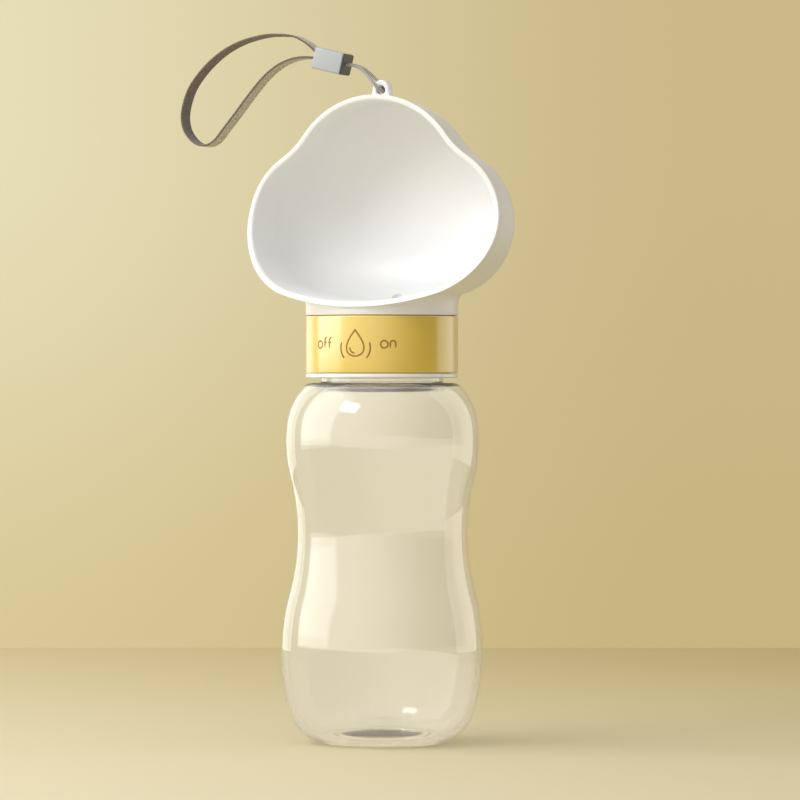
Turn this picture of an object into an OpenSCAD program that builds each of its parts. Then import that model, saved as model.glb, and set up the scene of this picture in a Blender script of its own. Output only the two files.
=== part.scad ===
// Dog travel water bottle: clear bottle, screw cap with a turning shear valve,
// and a cloud-shaped drinking bowl with a wrist lanyard.
// Millimetres. Origin at the centre of the foot, +Z up, the bowl opens towards -Y.

/* [Bottle] */
// Widest diameter of the lower bulge
bulge_d = 70; // [68:0.5:74]
// Height of that widest point
bulge_z = 32.2; // [31:0.2:34]
// Smallest diameter of the waist
waist_d = 59; // [57:0.5:61]
// Height of the waist
waist_z = 72.5; // [70:0.5:75]
// Diameter of the upper bulge
chest_d = 67.2; // [65:0.2:69]
// Height of the upper bulge
chest_z = 104.3; // [102:0.1:106]
// Radius of the hollow curve of the waist
waist_arc = 75.6; // [68:0.2:84]
// Height of the flat on top of the shoulder
shoulder_z = 124.8; // [123.6:0.1:126]
// Radius of the shoulder
shoulder_arc = 22.5; // [21.5:0.5:24]
// Height of the centre of the shoulder curve
shoulder_arc_z = 108.3; // [107.6:0.1:109]
// Radius between shoulder and its flat
shoulder_edge = 3.2; // [2.8:0.1:3.6]
// Radius of the bottom corner
corner_arc = 15.2; // [14:0.1:16.4]
// Depth by which the foot is cut flat
foot_cut = 0.2; // [0.1:0.05:0.4]
// Wall of the bottle
bottle_wall = 2.2; // [1.6:0.1:2.5]
// Radius of the push-up in the base
punt_r = 15.8; // [13:0.2:16.6]
// Height of the push-up
punt_h = 5.2; // [3:0.1:7]

/* [Neck and thread] */
// Outer diameter of the bottle neck at the root of its thread
neck_d = 42.4; // [41:0.2:44]
// Wall of the neck
neck_wall = 2; // [1.6:0.1:2.6]
// Height of the neck above the shoulder
neck_h = 14.2; // [13.6:0.1:15.4]
// Height of the thread ridge
thread_h = 1.1; // [0.8:0.05:1.3]
// Pitch of the thread
thread_pitch = 4; // [3.6:0.1:4.4]
// Turns of thread on the neck
thread_turns = 2; // [1.5:0.25:2.25]
// Width of the ridge at its root
thread_root = 2.2; // [1.8:0.1:2.4]
// Width of the ridge at its crest
thread_crest = 1; // [0.7:0.1:1.2]
// Radial clearance between both threads
thread_gap = 0.35; // [0.25:0.05:0.5]

/* [Screw cap] */
// Gap between shoulder and the flange of the cap
cap_gap = 1.7; // [1.2:0.1:2.2]
// Thickness of the flange, the white ring under the collar
flange_t = 1.5; // [1.2:0.1:2]
// Wall of the threaded skirt
skirt_wall = 1.45; // [1.2:0.05:1.8]
// Thickness of the deck that closes the cap
deck_t = 2.2; // [2:0.1:3]
// Radius of the centre post
post_r = 5; // [4.6:0.1:5.4]

/* [Collar and valve] */
// Height of the turning collar
collar_h = 19.7; // [19:0.1:22]
// Wall of the collar
collar_wall = 2; // [1.7:0.1:2.4]
// Rounding of the outer edges of the collar
collar_edge = 0.5; // [0.3:0.1:0.8]
// Gap between the collar and what it turns on
ring_gap = 0.3; // [0.25:0.05:0.4]
// Height of the gaps above and below what turns
face_gap = 0.2; // [0.15:0.05:0.3]
// Thickness of the valve disc
disc_t = 2.4; // [2:0.1:3]
// Radial clearance of the disc on the post
post_gap = 0.05; // [0.03:0.01:0.08]
// Width of the three tabs that key the disc to the collar
tab_w = 5.8; // [4:0.2:8]
// Turn of the collar from the middle mark to either end, in degrees
turn = 26; // [24:0.5:28]
// Distance of the ports from the axis
port_x = 14; // [13:0.2:14.6]
// Radius of the ports
port_r = 2.8; // [2.2:0.1:3]
// Width of the port seals
seal_w = 1.9; // [1.5:0.1:2.2]
// Thickness of the port seals
seal_t = 1.4; // [1.1:0.1:1.6]
// Thickness of the valve seat
seat_t = 2.4; // [2:0.1:2.8]
// Cross-section of all the O-rings
o_ring_d = 1.2; // [1:0.1:1.3]
// Outer radius of the outlet duct
duct_r = 3.4; // [3:0.1:3.8]
// Wall of the outlet duct
duct_wall = 1; // [0.8:0.1:1.2]

/* [Bowl] */
// Radius of the top lobe
top_r = 31.7; // [30.5:0.1:32.5]
// Height of its centre above the bowl's own centre
top_z = 8; // [7:0.1:9]
// Radius of the side lobes
lobe_r = 26.6; // [26:0.1:27.4]
// Distance of their centres from the middle
lobe_x = 19.4; // [18.6:0.1:20.2]
// Height of their centres
lobe_z = -4; // [-4.6:0.1:-3.4]
// Radius of the hollows between the lobes
notch_r = 31; // [26:0.5:38]
// Radius of the nearly flat underside
sole_r = 92; // [84:1:102]
// Wall of the bowl
bowl_wall = 1.9; // [1.6:0.1:2.2]
// Height of the round neck below the bowl's lowest point
bowl_neck_h = 2.8; // [2.6:0.1:3.6]
// Rim at the top lobe, in front of the axis
rim_y = 7.4; // [6:0.1:8.5]
// Height above the bowl's centre from which the rim sweeps forward
sweep_z = 7.8; // [5:0.2:11]
// Depth where the straight wall ends behind the axis
back_y = 7; // [6:0.1:8]
// Backward lean of that edge towards the sole
back_lean = 1; // [0:0.5:4]
// Depth of the domed back
dome_y = 19; // [17:0.5:20]
// Share of the outline that is left at the end of the straight wall
draft = 0.985; // [0.97:0.005:0.99]
// Radius of the small outlet hole in the floor
outlet_r = 1.5; // [1.2:0.1:1.8]
// Height to which the neck's side stays straight behind the bowl
neck_side_h = 7; // [6:0.5:8]
// Rounding of the neck's upper edge there
neck_round = 5; // [4:0.5:6]

/* [Lanyard] */
// Outer radius of the lug
lug_r = 3; // [2.8:0.1:3.3]
// Half width of the lug where it meets the bowl
lug_foot = 3.6; // [3.2:0.1:4.4]
// Thickness of the lug
lug_t = 3.9; // [3.4:0.1:4]
// Radius of the hole in the lug
lug_hole_r = 1.6; // [1.5:0.05:1.8]
// Diameter of the thin cord
cord_d = 1.3; // [1.1:0.1:1.4]
// Length of the bead
bead_l = 11.2; // [10.8:0.1:11.4]
// Width of the bead
bead_w = 9.6; // [9.4:0.1:10.4]
// Height of the bead
bead_h = 7.6; // [7:0.1:8]
// Wall of the bead's sleeve
bead_wall = 0.9; // [0.7:0.05:1]
// Width of the wrist webbing
strap_w = 7.4; // [6.6:0.1:7.6]
// Thickness of the wrist webbing
strap_t = 0.8; // [0.7:0.1:1]

/* [Hidden] */

// Colours
clear_plastic = [0.90, 0.92, 0.91, 0.45];
white_plastic = [0.95, 0.94, 0.91];
yellow_plastic = [0.89, 0.70, 0.26];
silicone = [0.78, 0.80, 0.80];
steel = [0.70, 0.71, 0.72];
bead_grey = [0.76, 0.76, 0.75];
dark_grey = [0.28, 0.27, 0.25];
webbing_brown = [0.52, 0.48, 0.42];

fine = 120; // facets of the large turned pieces
small = 48; // facets of the small turned pieces
sunk = 0.3; // how deep one shape of a piece is sunk into another
contact = 0.1; // gap of a silicone ring to what it seals against
slip = 0.05; // clearance of pieces that are pushed together

// Centres of the arcs that make the outline
top_c = [0, top_z];
lobe_c = [lobe_x, lobe_z];
sole_c = [0, lobe_z + sqrt((sole_r - lobe_r) * (sole_r - lobe_r) - lobe_x * lobe_x)];

// Height, from the bowl's centre, of the point that its rings shrink towards
mid_w = -3;

// Heights, from the shoulder upwards
neck_r = neck_d / 2;
mouth_r = neck_r - neck_wall;
neck_top = shoulder_z + neck_h;
flange_z = shoulder_z + cap_gap;
collar_z = flange_z + flange_t + face_gap;
gasket_t = 1; // thickness of the gasket on the mouth
roof_gap = 2.2; // depth of the hollow under the bowl's neck
deck_z = neck_top + gasket_t + 2 * contact;
deck_top = deck_z + deck_t;
disc_z = deck_top + face_gap;
disc_top = disc_z + disc_t;
seat_z = disc_top + face_gap;
seat_top = seat_z + seat_t;
collar_top = collar_z + collar_h;
head_z = collar_top + face_gap;
roof_z = head_z + roof_gap;
bowl_z = head_z + bowl_neck_h - sole_low(0);

// Radii, from the neck outwards
thread_z = shoulder_z + 3.4; // where the middle of the ridge starts
skirt_in = neck_r + thread_h + thread_gap;
skirt_r = skirt_in + skirt_wall;
collar_in = skirt_r + ring_gap;
collar_r = collar_in + collar_wall;
disc_r = collar_in - 1;
tab_r = collar_in + 1;
seat_r = collar_in - 0.5;
head_in = seat_r + contact;
seal_r = port_r + 0.2;
seal_pocket_r = seal_r + seal_w + slip;
seal_pocket_t = seal_t - contact;
screw_r = 1.5;
screw_hole_r = screw_r + 0.2;
washer_t = 0.6;
washer_r = 4.2;
screw_head_t = 2;
screw_head_r = 3.4;
screw_top = roof_z + 1.1;
boss_r = 4.2;
key_w = 3;
key_l = 7.4;
key_h = 1.2;
duct_flange_r = duct_r + 1.4;
duct_cover = 1.2; // floor left above the end of the duct
duct_top = bowl_floor_z() - duct_cover;

// Stop lug of the disc and its track in the deck
stop_in = port_x + port_r + 1.7;
stop_w = 1.8;
stop_h = 1.2;
stop_span = 7;
stop_gap = 0.3;

// ---------- curves ----------

// Points along an arc about (x, y), from angle a to angle b
function arc(x, y, r, a, b, n) = [for (i = [0:n]) let (t = a + (b - a) * i / n) [x + r * cos(t), y + r * sin(t)]];

// The same list without its first point, for a curve that goes on from another
function after_first(list) = [for (i = [1:len(list) - 1]) list[i]];

function backwards(list) = [for (i = [len(list) - 1:-1:0]) list[i]];

// Cap of a sphere from radius r at height y down to the axis, h high at its middle
function cap(r, y, h, n) =
  let (ball = (r * r + h * h) / (2 * h))
  [for (i = [0:n]) let (x = r * (1 - i / n)) [x, y + sqrt(ball * ball - x * x) - (ball - h)]];

// Catmull-Rom curve through hand-set points, with n steps between two of them
function between(a, b, c, d, t) =
  0.5 * (2 * b + (c - a) * t + (2 * a - 5 * b + 4 * c - d) * t * t + (3 * b - a - 3 * c + d) * t * t * t);
function smooth_route(p, n) =
  let (m = len(p) - 1)
  concat(
    [for (i = [0:m - 1], k = [0:n - 1])
      between(p[max(i - 1, 0)], p[i], p[i + 1], p[min(i + 2, m)], k / n)],
    [p[m]]
  );

// ---------- bottle outline ----------

// A bulge of radius big_r meets the waist curve tangentially: its own arc has this radius
function bulge_arc(big_r, rise) =
  let (dr = big_r - waist_d / 2)
  (rise * rise + dr * dr) / (2 * dr) - waist_arc;

low_arc = bulge_arc(bulge_d / 2, waist_z - bulge_z);
high_arc = bulge_arc(chest_d / 2, chest_z - waist_z);
low_x = bulge_d / 2 - low_arc;
high_x = chest_d / 2 - high_arc;
low_turn = asin((waist_z - bulge_z) / (low_arc + waist_arc));
high_turn = asin((chest_z - waist_z) / (high_arc + waist_arc));
corner_z = corner_arc - foot_cut;
corner_turn = asin((bulge_z - corner_z) / (low_arc - corner_arc));
corner_x = low_x + (low_arc - corner_arc) * cos(corner_turn);
shoulder_turn = asin((shoulder_arc_z - chest_z) / (high_arc - shoulder_arc));
shoulder_x = high_x + (high_arc - shoulder_arc) * cos(shoulder_turn);
edge_turn = asin((shoulder_z - shoulder_edge - shoulder_arc_z) / (shoulder_arc - shoulder_edge));
edge_x = shoulder_x + (shoulder_arc - shoulder_edge) * cos(edge_turn);
edge_z = shoulder_z - shoulder_edge;

// Side of the bottle from the foot to the flat of the shoulder, set inwards by t
function bottle_side(t) = concat(
  arc(corner_x, corner_z, corner_arc - t, t > 0 ? -90 : -asin(corner_z / corner_arc), -corner_turn, 10),
  after_first(arc(low_x, bulge_z, low_arc - t, -corner_turn, low_turn, 16)),
  after_first(arc(waist_d / 2 + waist_arc, waist_z, waist_arc + t, 180 + low_turn, 180 - high_turn, 18)),
  after_first(arc(high_x, chest_z, high_arc - t, -high_turn, shoulder_turn, 8)),
  after_first(arc(shoulder_x, shoulder_arc_z, shoulder_arc - t, shoulder_turn, edge_turn, 8)),
  after_first(arc(edge_x, edge_z, shoulder_edge - t, edge_turn, 90, 5))
);

// Outline of half a section: up the outside, over the mouth and down the inside
function bottle_section() = concat(
  backwards(cap(punt_r, 0, punt_h, 10)),
  bottle_side(0),
  [
    [neck_r, shoulder_z],
    [neck_r, neck_top - 0.4],
    [neck_r - 0.4, neck_top],
    [mouth_r + 0.4, neck_top],
    [mouth_r, neck_top - 0.4],
    [mouth_r, shoulder_z - bottle_wall + 1.2],
    [mouth_r + 1.2, shoulder_z - bottle_wall]
  ],
  backwards(bottle_side(bottle_wall)),
  after_first(cap(corner_x, bottle_wall - foot_cut, punt_h + 0.6, 10))
);

// ---------- threads ----------

// One ring of the ridge: root, crest, crest, root
function ridge_ring(a, root_r, out, z, height) = [
  for (c = [
    [root_r - out * sunk, -thread_root / 2],
    [root_r + out * height, -thread_crest / 2],
    [root_r + out * height, thread_crest / 2],
    [root_r - out * sunk, thread_root / 2]
  ]) [c.x * cos(a), c.x * sin(a), z + c.y]
];

// Height of the ridge at angle a: it grows and fades over 30 degrees and ends inside the wall
function ridge_height(a, a0, a1) = -sunk / 2 + (thread_h + sunk / 2) * max(0, min(1, (a - a0) / 30, (a1 - a) / 30));

// Helical ridge on a wall of radius root_r, outwards for out = 1 and inwards for out = -1
module ridge(root_r, out, z0, a0, a1) {
  n = ceil((a1 - a0) / 10);
  rings = [for (i = [0:n]) let (a = a0 + (a1 - a0) * i / n)
    ridge_ring(a, root_r, out, z0 + thread_pitch * a / 360, ridge_height(a, a0, a1))];
  points = [for (r = rings, p = r) p];
  sides = [for (i = [0:n - 1], k = [0:3]) let (a = 4 * i + k, b = 4 * i + (k + 1) % 4)
    each [[a, b, a + 4], [b, b + 4, a + 4]]];
  ends = [[0, 2, 1], [0, 3, 2], [4 * n, 4 * n + 1, 4 * n + 2], [4 * n, 4 * n + 2, 4 * n + 3]];
  faces = concat(sides, ends);
  polyhedron(points, out < 0 ? [for (f = faces) [f[0], f[2], f[1]]] : faces);
}

// ---------- bowl surfaces ----------

// Centre of the hollow between top lobe and side lobe: it touches both from outside
function notch_centre() =
  let (
    d = lobe_c - top_c,
    l = norm(d),
    a = ((top_r + notch_r) ^ 2 - (lobe_r + notch_r) ^ 2 + l * l) / (2 * l),
    h = sqrt((top_r + notch_r) ^ 2 - a * a)
  )
  top_c + a * d / l + h * [-d.y, d.x] / l;
notch_c = notch_centre();

// Angle of the direction from a to b, 0 to 360
function heading(a, b) = (atan2(b.y - a.y, b.x - a.x) + 360) % 360;

// Lowest point of the outline when it is set inwards by t
function sole_low(t) = sole_c.y - sole_r + t;

// Right half of the outline, from the top to the bottom, set inwards by t
function half_outline(t) = concat(
  arc(top_c.x, top_c.y, top_r - t, 90, heading(top_c, notch_c), 6),
  after_first(arc(notch_c.x, notch_c.y, notch_r + t, heading(notch_c, top_c), heading(notch_c, lobe_c), 5)),
  after_first(arc(lobe_c.x, lobe_c.y, lobe_r - t, heading(lobe_c, notch_c), heading(sole_c, lobe_c) - 360, 13)),
  after_first(arc(sole_c.x, sole_c.y, sole_r - t, heading(sole_c, lobe_c), 270, 6))
);

// Whole outline, clockwise as seen from the front
function outline(t) =
  let (h = half_outline(t), m = len(h) - 1)
  concat(h, [for (i = [m - 1:-1:1]) [-h[i].x, h[i].y]]);

oval = [44, 33]; // half axes of the oval that the outline melts into at the back
squareness = 2.3; // 2 makes the back round, more makes it fuller

// How far forward the rim lies at height w: straight above, swept out to the neck below
function rim_at(w) =
  -rim_y - (collar_r - rim_y) * (max(0, sweep_z - w) / (sweep_z - sole_low(0))) ^ 2;

// Where the straight wall ends at height w
function back_at(w) = back_y - w * tan(back_lean);

// Point of the bowl: outline point p shrunk by s towards the middle, at depth y
function bowl_point(p, s, y) = [p.x * s, y, bowl_z + mid_w + (p.y - mid_w) * s];

function lip_ring(a) =
  [for (p = outline(bowl_wall / 2 * (1 - cos(a)))) bowl_point(p, 1, rim_at(p.y) - bowl_wall / 2 * sin(a))];

function wall_ring(t, f) =
  [for (p = outline(t)) bowl_point(p, 1 - (1 - draft) * f, rim_at(p.y) * (1 - f) + back_at(p.y) * f)];

// Ring of the domed back at angle a: the outline melts into the oval while it closes
function dome_ring(t, a) =
  let (s = draft * cos(a) ^ (2 / squareness), y = (dome_y - t) * sin(a) ^ (2 / squareness))
  [for (p = outline(t)) let (
      e = oval - [t, t],
      b = atan2((p.y - mid_w) / e.y, p.x / e.x),
      q = p * cos(a) + [e.x * cos(b), mid_w + e.y * sin(b)] * (1 - cos(a))
    ) bowl_point(q, s, back_at(mid_w + (q.y - mid_w) * s) + y)];

function pole(t) = [0, back_at(mid_w) + dome_y - t, bowl_z + mid_w];

// Height of the inside of the bowl's floor where it is still flat
function bowl_floor_z() = bowl_z + mid_w + (sole_low(bowl_wall) - mid_w) * draft;

dome_angles = [22, 38, 52, 65, 76, 84];

// Closed surface over rings with equally many points, with a tip at either end
module skin(rings, first_tip, last_tip) {
  n = len(rings[0]);
  m = len(rings);
  points = concat([for (r = rings, p = r) p], [first_tip, last_tip]);
  sides = [for (j = [0:m - 2], i = [0:n - 1]) let (a = j * n + i, b = j * n + (i + 1) % n)
    each [[a, b, a + n], [b, b + n, a + n]]];
  first_end = [for (i = [0:n - 1]) [n * m, (i + 1) % n, i]];
  last_end = [for (i = [0:n - 1]) [n * m + 1, (m - 1) * n + i, (m - 1) * n + (i + 1) % n]];
  polyhedron(points, concat(sides, first_end, last_end), convexity = 6);
}

// Rings from the back pole to the front of the wall, set inwards by t
function back_rings(t) = concat(
  [for (a = backwards(dome_angles)) dome_ring(t, a)],
  [for (f = [1, 0.5, 0.2]) wall_ring(t, f)]
);

module bowl_shell() {
  skin(
    concat(back_rings(0), [for (a = [0:45:180]) lip_ring(a)], backwards(back_rings(bowl_wall))),
    pole(0), pole(bowl_wall)
  );
}

// All that lies inside the middle of the bowl's wall, and forward of it past the neck
module bowl_core() {
  t = bowl_wall / 2;
  forward = [0, -8, 0];
  skin(
    concat(back_rings(t), [wall_ring(t, 0), [for (p = wall_ring(t, 0)) p + forward]]),
    pole(t), [0, -2 * collar_r, bowl_z + mid_w]
  );
}

// ---------- shared shapes ----------

module tube(r_out, r_in, h) {
  difference() {
    cylinder(r = r_out, h = h, $fn = small);
    translate([0, 0, -1]) cylinder(r = r_in, h = h + 2, $fn = small);
  }
}

module at_port(angle = 90) {
  rotate(angle) translate([port_x, 0, 0]) children();
}

module port_hole() {
  translate([0, 0, shoulder_z]) cylinder(r = port_r, h = head_z - shoulder_z, $fn = small);
}

module screw_hole(r = screw_hole_r) {
  translate([0, 0, deck_z - 1]) cylinder(r = r, h = screw_top - deck_z + 1, $fn = small);
}

// O-ring that lies in a groove whose floor has radius r, at height z
module o_ring(r, z) {
  translate([0, 0, z]) rotate_extrude($fn = fine) translate([r + o_ring_d / 2, 0]) circle(d = o_ring_d, $fn = 24);
}

// Piece of a ring, from radius a to radius b, h high, span degrees wide about angle mid
module ring_piece(a, b, h, mid, span) {
  rotate(mid - span / 2) rotate_extrude(angle = span, $fn = fine) translate([a, 0]) square([b - a, h]);
}

groove_h = o_ring_d + 0.2;
groove_depth = o_ring_d - slip;

// ---------- bottle ----------

module bottle_body() {
  color(clear_plastic) {
    rotate_extrude($fn = fine) polygon(bottle_section());
    ridge(neck_r, 1, thread_z, 0, 360 * thread_turns);
  }
}

module neck_gasket() {
  color(silicone) translate([0, 0, neck_top + contact]) tube(neck_r + thread_h, mouth_r + 0.4, gasket_t);
}

// ---------- screw cap ----------

skirt_groove_z = deck_z + 0.4;

function base_section() = [
  [0, deck_z],
  [skirt_in, deck_z],
  [skirt_in, flange_z],
  [collar_r - 0.4, flange_z],
  [collar_r, flange_z + 0.4],
  [collar_r, flange_z + flange_t - 0.3],
  [collar_r - 0.3, flange_z + flange_t],
  [skirt_r, flange_z + flange_t],
  [skirt_r, skirt_groove_z],
  [skirt_r - groove_depth, skirt_groove_z],
  [skirt_r - groove_depth, skirt_groove_z + groove_h],
  [skirt_r, skirt_groove_z + groove_h],
  [skirt_r, deck_top],
  [0, deck_top]
];

module post_key(gap) {
  l = key_l + 2 * gap;
  w = key_w + 2 * gap;
  translate([-l / 2, -w / 2, seat_z - sunk]) cube([l, w, key_h + sunk + gap]);
}

module valve_base() {
  color(white_plastic) difference() {
    union() {
      rotate_extrude($fn = fine) polygon(base_section());
      ridge(skirt_in, -1, thread_z + thread_pitch / 2, -180, 360 * (thread_turns - 0.75));
      translate([0, 0, deck_z + sunk]) cylinder(r = post_r, h = seat_z - deck_z - sunk, $fn = small);
      post_key(0);
    }
    screw_hole();
    at_port() port_hole();
    at_port() translate([0, 0, deck_top - seal_pocket_t]) cylinder(r = seal_pocket_r, h = 5, $fn = small);
    translate([0, 0, deck_top - stop_h])
      ring_piece(stop_in - stop_gap, stop_in + stop_w + stop_gap, 5, -90, 2 * turn + stop_span + 3);
  }
}

module skirt_o_ring() {
  color(dark_grey) o_ring(skirt_r - groove_depth, skirt_groove_z + groove_h / 2);
}

module inlet_seal() {
  color(silicone) at_port() translate([0, 0, deck_top - seal_pocket_t]) tube(seal_r + seal_w, seal_r, seal_t);
}

module screw_washer() {
  color(silicone) translate([0, 0, deck_z - washer_t]) tube(washer_r, screw_hole_r, washer_t);
}

module centre_screw() {
  under = deck_z - washer_t;
  color(steel) difference() {
    union() {
      translate([0, 0, under]) cylinder(r = screw_r, h = screw_top - under - 0.5, $fn = small);
      translate([0, 0, under - screw_head_t]) rotate_extrude($fn = small) polygon([
        [0, 0],
        [screw_head_r - 0.6, 0],
        [screw_head_r, 0.6],
        [screw_head_r, screw_head_t],
        [0, screw_head_t]
      ]);
    }
    for (a = [0, 90]) rotate(a) translate([-2, -0.45, under - screw_head_t - 1]) cube([4, 0.9, 2.2]);
  }
}

// ---------- collar and disc ----------

function collar_section() = concat(
  [[collar_in, collar_z], [collar_r - collar_edge, collar_z]],
  after_first(arc(collar_r - collar_edge, collar_z + collar_edge, collar_edge, -90, 0, 4)),
  arc(collar_r - collar_edge, collar_top - collar_edge, collar_edge, 0, 90, 4),
  [[collar_in, collar_top]]
);

// A tab, or with a gap the notch for it, cut off by a cylinder of radius r
module tab(r, gap, h) {
  intersection() {
    translate([disc_r - 1, -tab_w / 2 - gap, 0]) cube([5, tab_w + 2 * gap, h]);
    cylinder(r = r, h = h, $fn = fine);
  }
}

module collar_ring() {
  color(yellow_plastic) difference() {
    rotate_extrude($fn = fine) polygon(collar_section());
    for (a = [30, 150, 270]) rotate(a) translate([0, 0, disc_z]) tab(tab_r + contact, contact, collar_h);
  }
}

disc_groove_z = disc_z + disc_t / 2;
post_ring_r = post_r + 0.35; // inner radius of the O-ring round the post

module valve_disc() {
  color(white_plastic) difference() {
    union() {
      translate([0, 0, disc_z]) cylinder(r = disc_r, h = disc_t, $fn = fine);
      for (a = [30, 150, 270]) rotate(a) translate([0, 0, disc_z]) tab(tab_r, 0, disc_t);
      translate([0, 0, disc_z - face_gap - stop_h + stop_gap])
        ring_piece(stop_in, stop_in + stop_w, stop_h + face_gap, -90, stop_span);
    }
    translate([0, 0, disc_z - 1]) cylinder(r = post_r + post_gap, h = disc_t + 2, $fn = small);
    translate([0, 0, disc_groove_z - groove_h / 2])
      cylinder(r = post_ring_r + o_ring_d + slip, h = groove_h, $fn = small);
    at_port(90 + turn) port_hole();
  }
}

module post_o_ring() {
  color(dark_grey) o_ring(post_ring_r, disc_groove_z);
}

// ---------- valve seat and outlet ----------

seat_gasket_t = 0.6;
seat_rim = 2.9;
seat_groove_z = seat_z + 0.6;

function seat_section() = [
  [0, seat_z],
  [seat_r, seat_z],
  [seat_r, seat_groove_z],
  [seat_r - groove_depth, seat_groove_z],
  [seat_r - groove_depth, seat_groove_z + groove_h],
  [seat_r, seat_groove_z + groove_h],
  [seat_r, roof_z - seat_gasket_t],
  [seat_r - seat_rim, roof_z - seat_gasket_t],
  [seat_r - seat_rim, seat_top],
  [0, seat_top]
];

module valve_seat() {
  color(white_plastic) difference() {
    rotate_extrude($fn = fine) polygon(seat_section());
    screw_hole();
    post_key(contact);
    at_port() port_hole();
    at_port() translate([0, 0, seat_z - 1]) cylinder(r = seal_pocket_r, h = seal_pocket_t + 1, $fn = small);
  }
}

module seat_o_ring() {
  color(dark_grey) o_ring(seat_r - groove_depth, seat_groove_z + groove_h / 2);
}

module outlet_seal() {
  color(silicone) at_port() translate([0, 0, seat_z - contact]) tube(seal_r + seal_w, seal_r, seal_t);
}

module seat_gasket() {
  color(silicone) translate([0, 0, roof_z - seat_gasket_t]) difference() {
    cylinder(r = seat_r, h = seat_gasket_t, $fn = fine);
    translate([0, 0, -1]) cylinder(r = seat_r - seat_rim, h = seat_gasket_t + 2, $fn = fine);
  }
}

module outlet_duct() {
  inner = duct_r - duct_wall;
  color(white_plastic) at_port() rotate_extrude($fn = small) polygon([
    [inner, seat_top],
    [duct_flange_r, seat_top],
    [duct_flange_r, roof_z - o_ring_d],
    [duct_r, roof_z - o_ring_d],
    [duct_r, duct_top],
    [inner, duct_top]
  ]);
}

module duct_o_ring() {
  color(dark_grey) at_port() o_ring(duct_r, roof_z - o_ring_d / 2);
}

// ---------- bowl ----------

lug_z = bowl_z + top_z + top_r + 2.5;
lug_hole_z = lug_z - 0.5;
lug_y = 0.5;
lug_drop = 4; // from the middle of its round top down into the bowl's wall
lug_flank = 18; // angle at which the lug's sides leave its round top

// Round neck: a ring round the seat, then solid up to the middle of the bowl's wall
module bowl_neck() {
  side_top = head_z + neck_side_h;
  difference() {
    rotate_extrude($fn = fine) polygon(concat(
      [
        [0, roof_z],
        [head_in, roof_z],
        [head_in, head_z],
        [collar_r - 0.3, head_z],
        [collar_r, head_z + 0.3]
      ],
      arc(collar_r - neck_round, side_top, neck_round, 0, 90, 6),
      [[0, side_top + neck_round]]
    ));
    bowl_core();
  }
}

module lug() {
  translate([0, lug_y, lug_z]) rotate([90, 0, 0]) cylinder(r = lug_r, h = lug_t, center = true, $fn = small);
  translate([0, lug_y, lug_z]) rotate([90, 0, 0]) linear_extrude(height = lug_t, center = true) polygon([
    [-lug_foot, -lug_drop],
    [lug_foot, -lug_drop],
    [lug_r * cos(lug_flank), lug_r * sin(lug_flank)],
    [-lug_r * cos(lug_flank), lug_r * sin(lug_flank)]
  ]);
}

module drinking_bowl() {
  color(white_plastic) difference() {
    union() {
      bowl_shell();
      bowl_neck();
      lug();
      translate([0, 0, seat_top]) cylinder(r = boss_r, h = roof_z - seat_top + sunk, $fn = small);
    }
    translate([0, 0, seat_top - 1]) cylinder(r = screw_r + slip, h = screw_top - seat_top + 1, $fn = small);
    at_port() translate([0, 0, roof_z - 1]) cylinder(r = duct_r + slip, h = duct_top + contact - roof_z + 1, $fn = small);
    at_port() translate([0, 0, duct_top]) cylinder(r = outlet_r, h = 6, $fn = small);
    translate([0, lug_y, lug_hole_z]) rotate([90, 0, 0])
      cylinder(r = lug_hole_r, h = 2 * lug_t, center = true, $fn = small);
  }
}

// ---------- lanyard ----------

// Centre and tilt of the bead, which hangs a little lower at its right end
bead_at = [-18.5, lug_y, 236.55];
bead_tilt = 13.5;
strap_recess = 0.3; // how deep the core lies at the webbing's end
cord_recess = 0.6; // and at the cord's end

// Route of the thin cord: out of the bead, through the lug, and back into the bead
cord_route = [
  [-13.3, -0.5, 235.3],
  [-10.4, -0.8, 235],
  [-7.2, -1.5, 233.6],
  [-4.6, -2.2, 231.3],
  [-2.5, -2.7, 229],
  [-0.9, -2.5, 227],
  [0.1, -1.2, 225.9],
  [0.2, 0.5, 225.8],
  [0.1, 2.2, 225.9],
  [-0.9, 3.5, 227],
  [-2.5, 3.7, 229],
  [-4.6, 3.2, 231.3],
  [-7.2, 2.5, 233.6],
  [-10.4, 1.8, 235],
  [-13.3, 1.5, 235.3]
];

// Route of the webbing in the XZ plane: out of the bead, round the loop, and back into it
strap_route = [
  [-23.6, 239.8],
  [-25.9, 242],
  [-28.8, 244],
  [-32.5, 245.6],
  [-38.3, 246.2],
  [-44.2, 245.9],
  [-52, 244],
  [-59.2, 240.5],
  [-66, 234.9],
  [-71.4, 227.9],
  [-73.9, 220.2],
  [-73.6, 214.8],
  [-71.5, 211],
  [-68.3, 208.5],
  [-64.8, 208.1],
  [-61.6, 209.8],
  [-58.2, 213.8],
  [-53.4, 219.6],
  [-48.2, 226],
  [-43.3, 231.4],
  [-38.4, 235.2],
  [-33.6, 237.3],
  [-29.2, 238.1],
  [-24.1, 237.9]
];

function rounded_box(w, h, r) = concat(
  arc(w / 2 - r, h / 2 - r, r, 0, 90, 5),
  arc(r - w / 2, h / 2 - r, r, 90, 180, 5),
  arc(r - w / 2, r - h / 2, r, 180, 270, 5),
  arc(w / 2 - r, r - h / 2, r, 270, 360, 5)
);

// Bar along the bead's own axis from place a to place b, with section w across and h high
module bead_bar(w, h, r, a, b) {
  translate(bead_at) rotate([0, 90 + bead_tilt, 0]) rotate(90)
    translate([0, 0, a]) linear_extrude(height = b - a) polygon(rounded_box(w, h, r));
}

bead_bore_w = bead_w - 2 * bead_wall;
bead_bore_h = bead_h - 2 * bead_wall;

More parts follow.
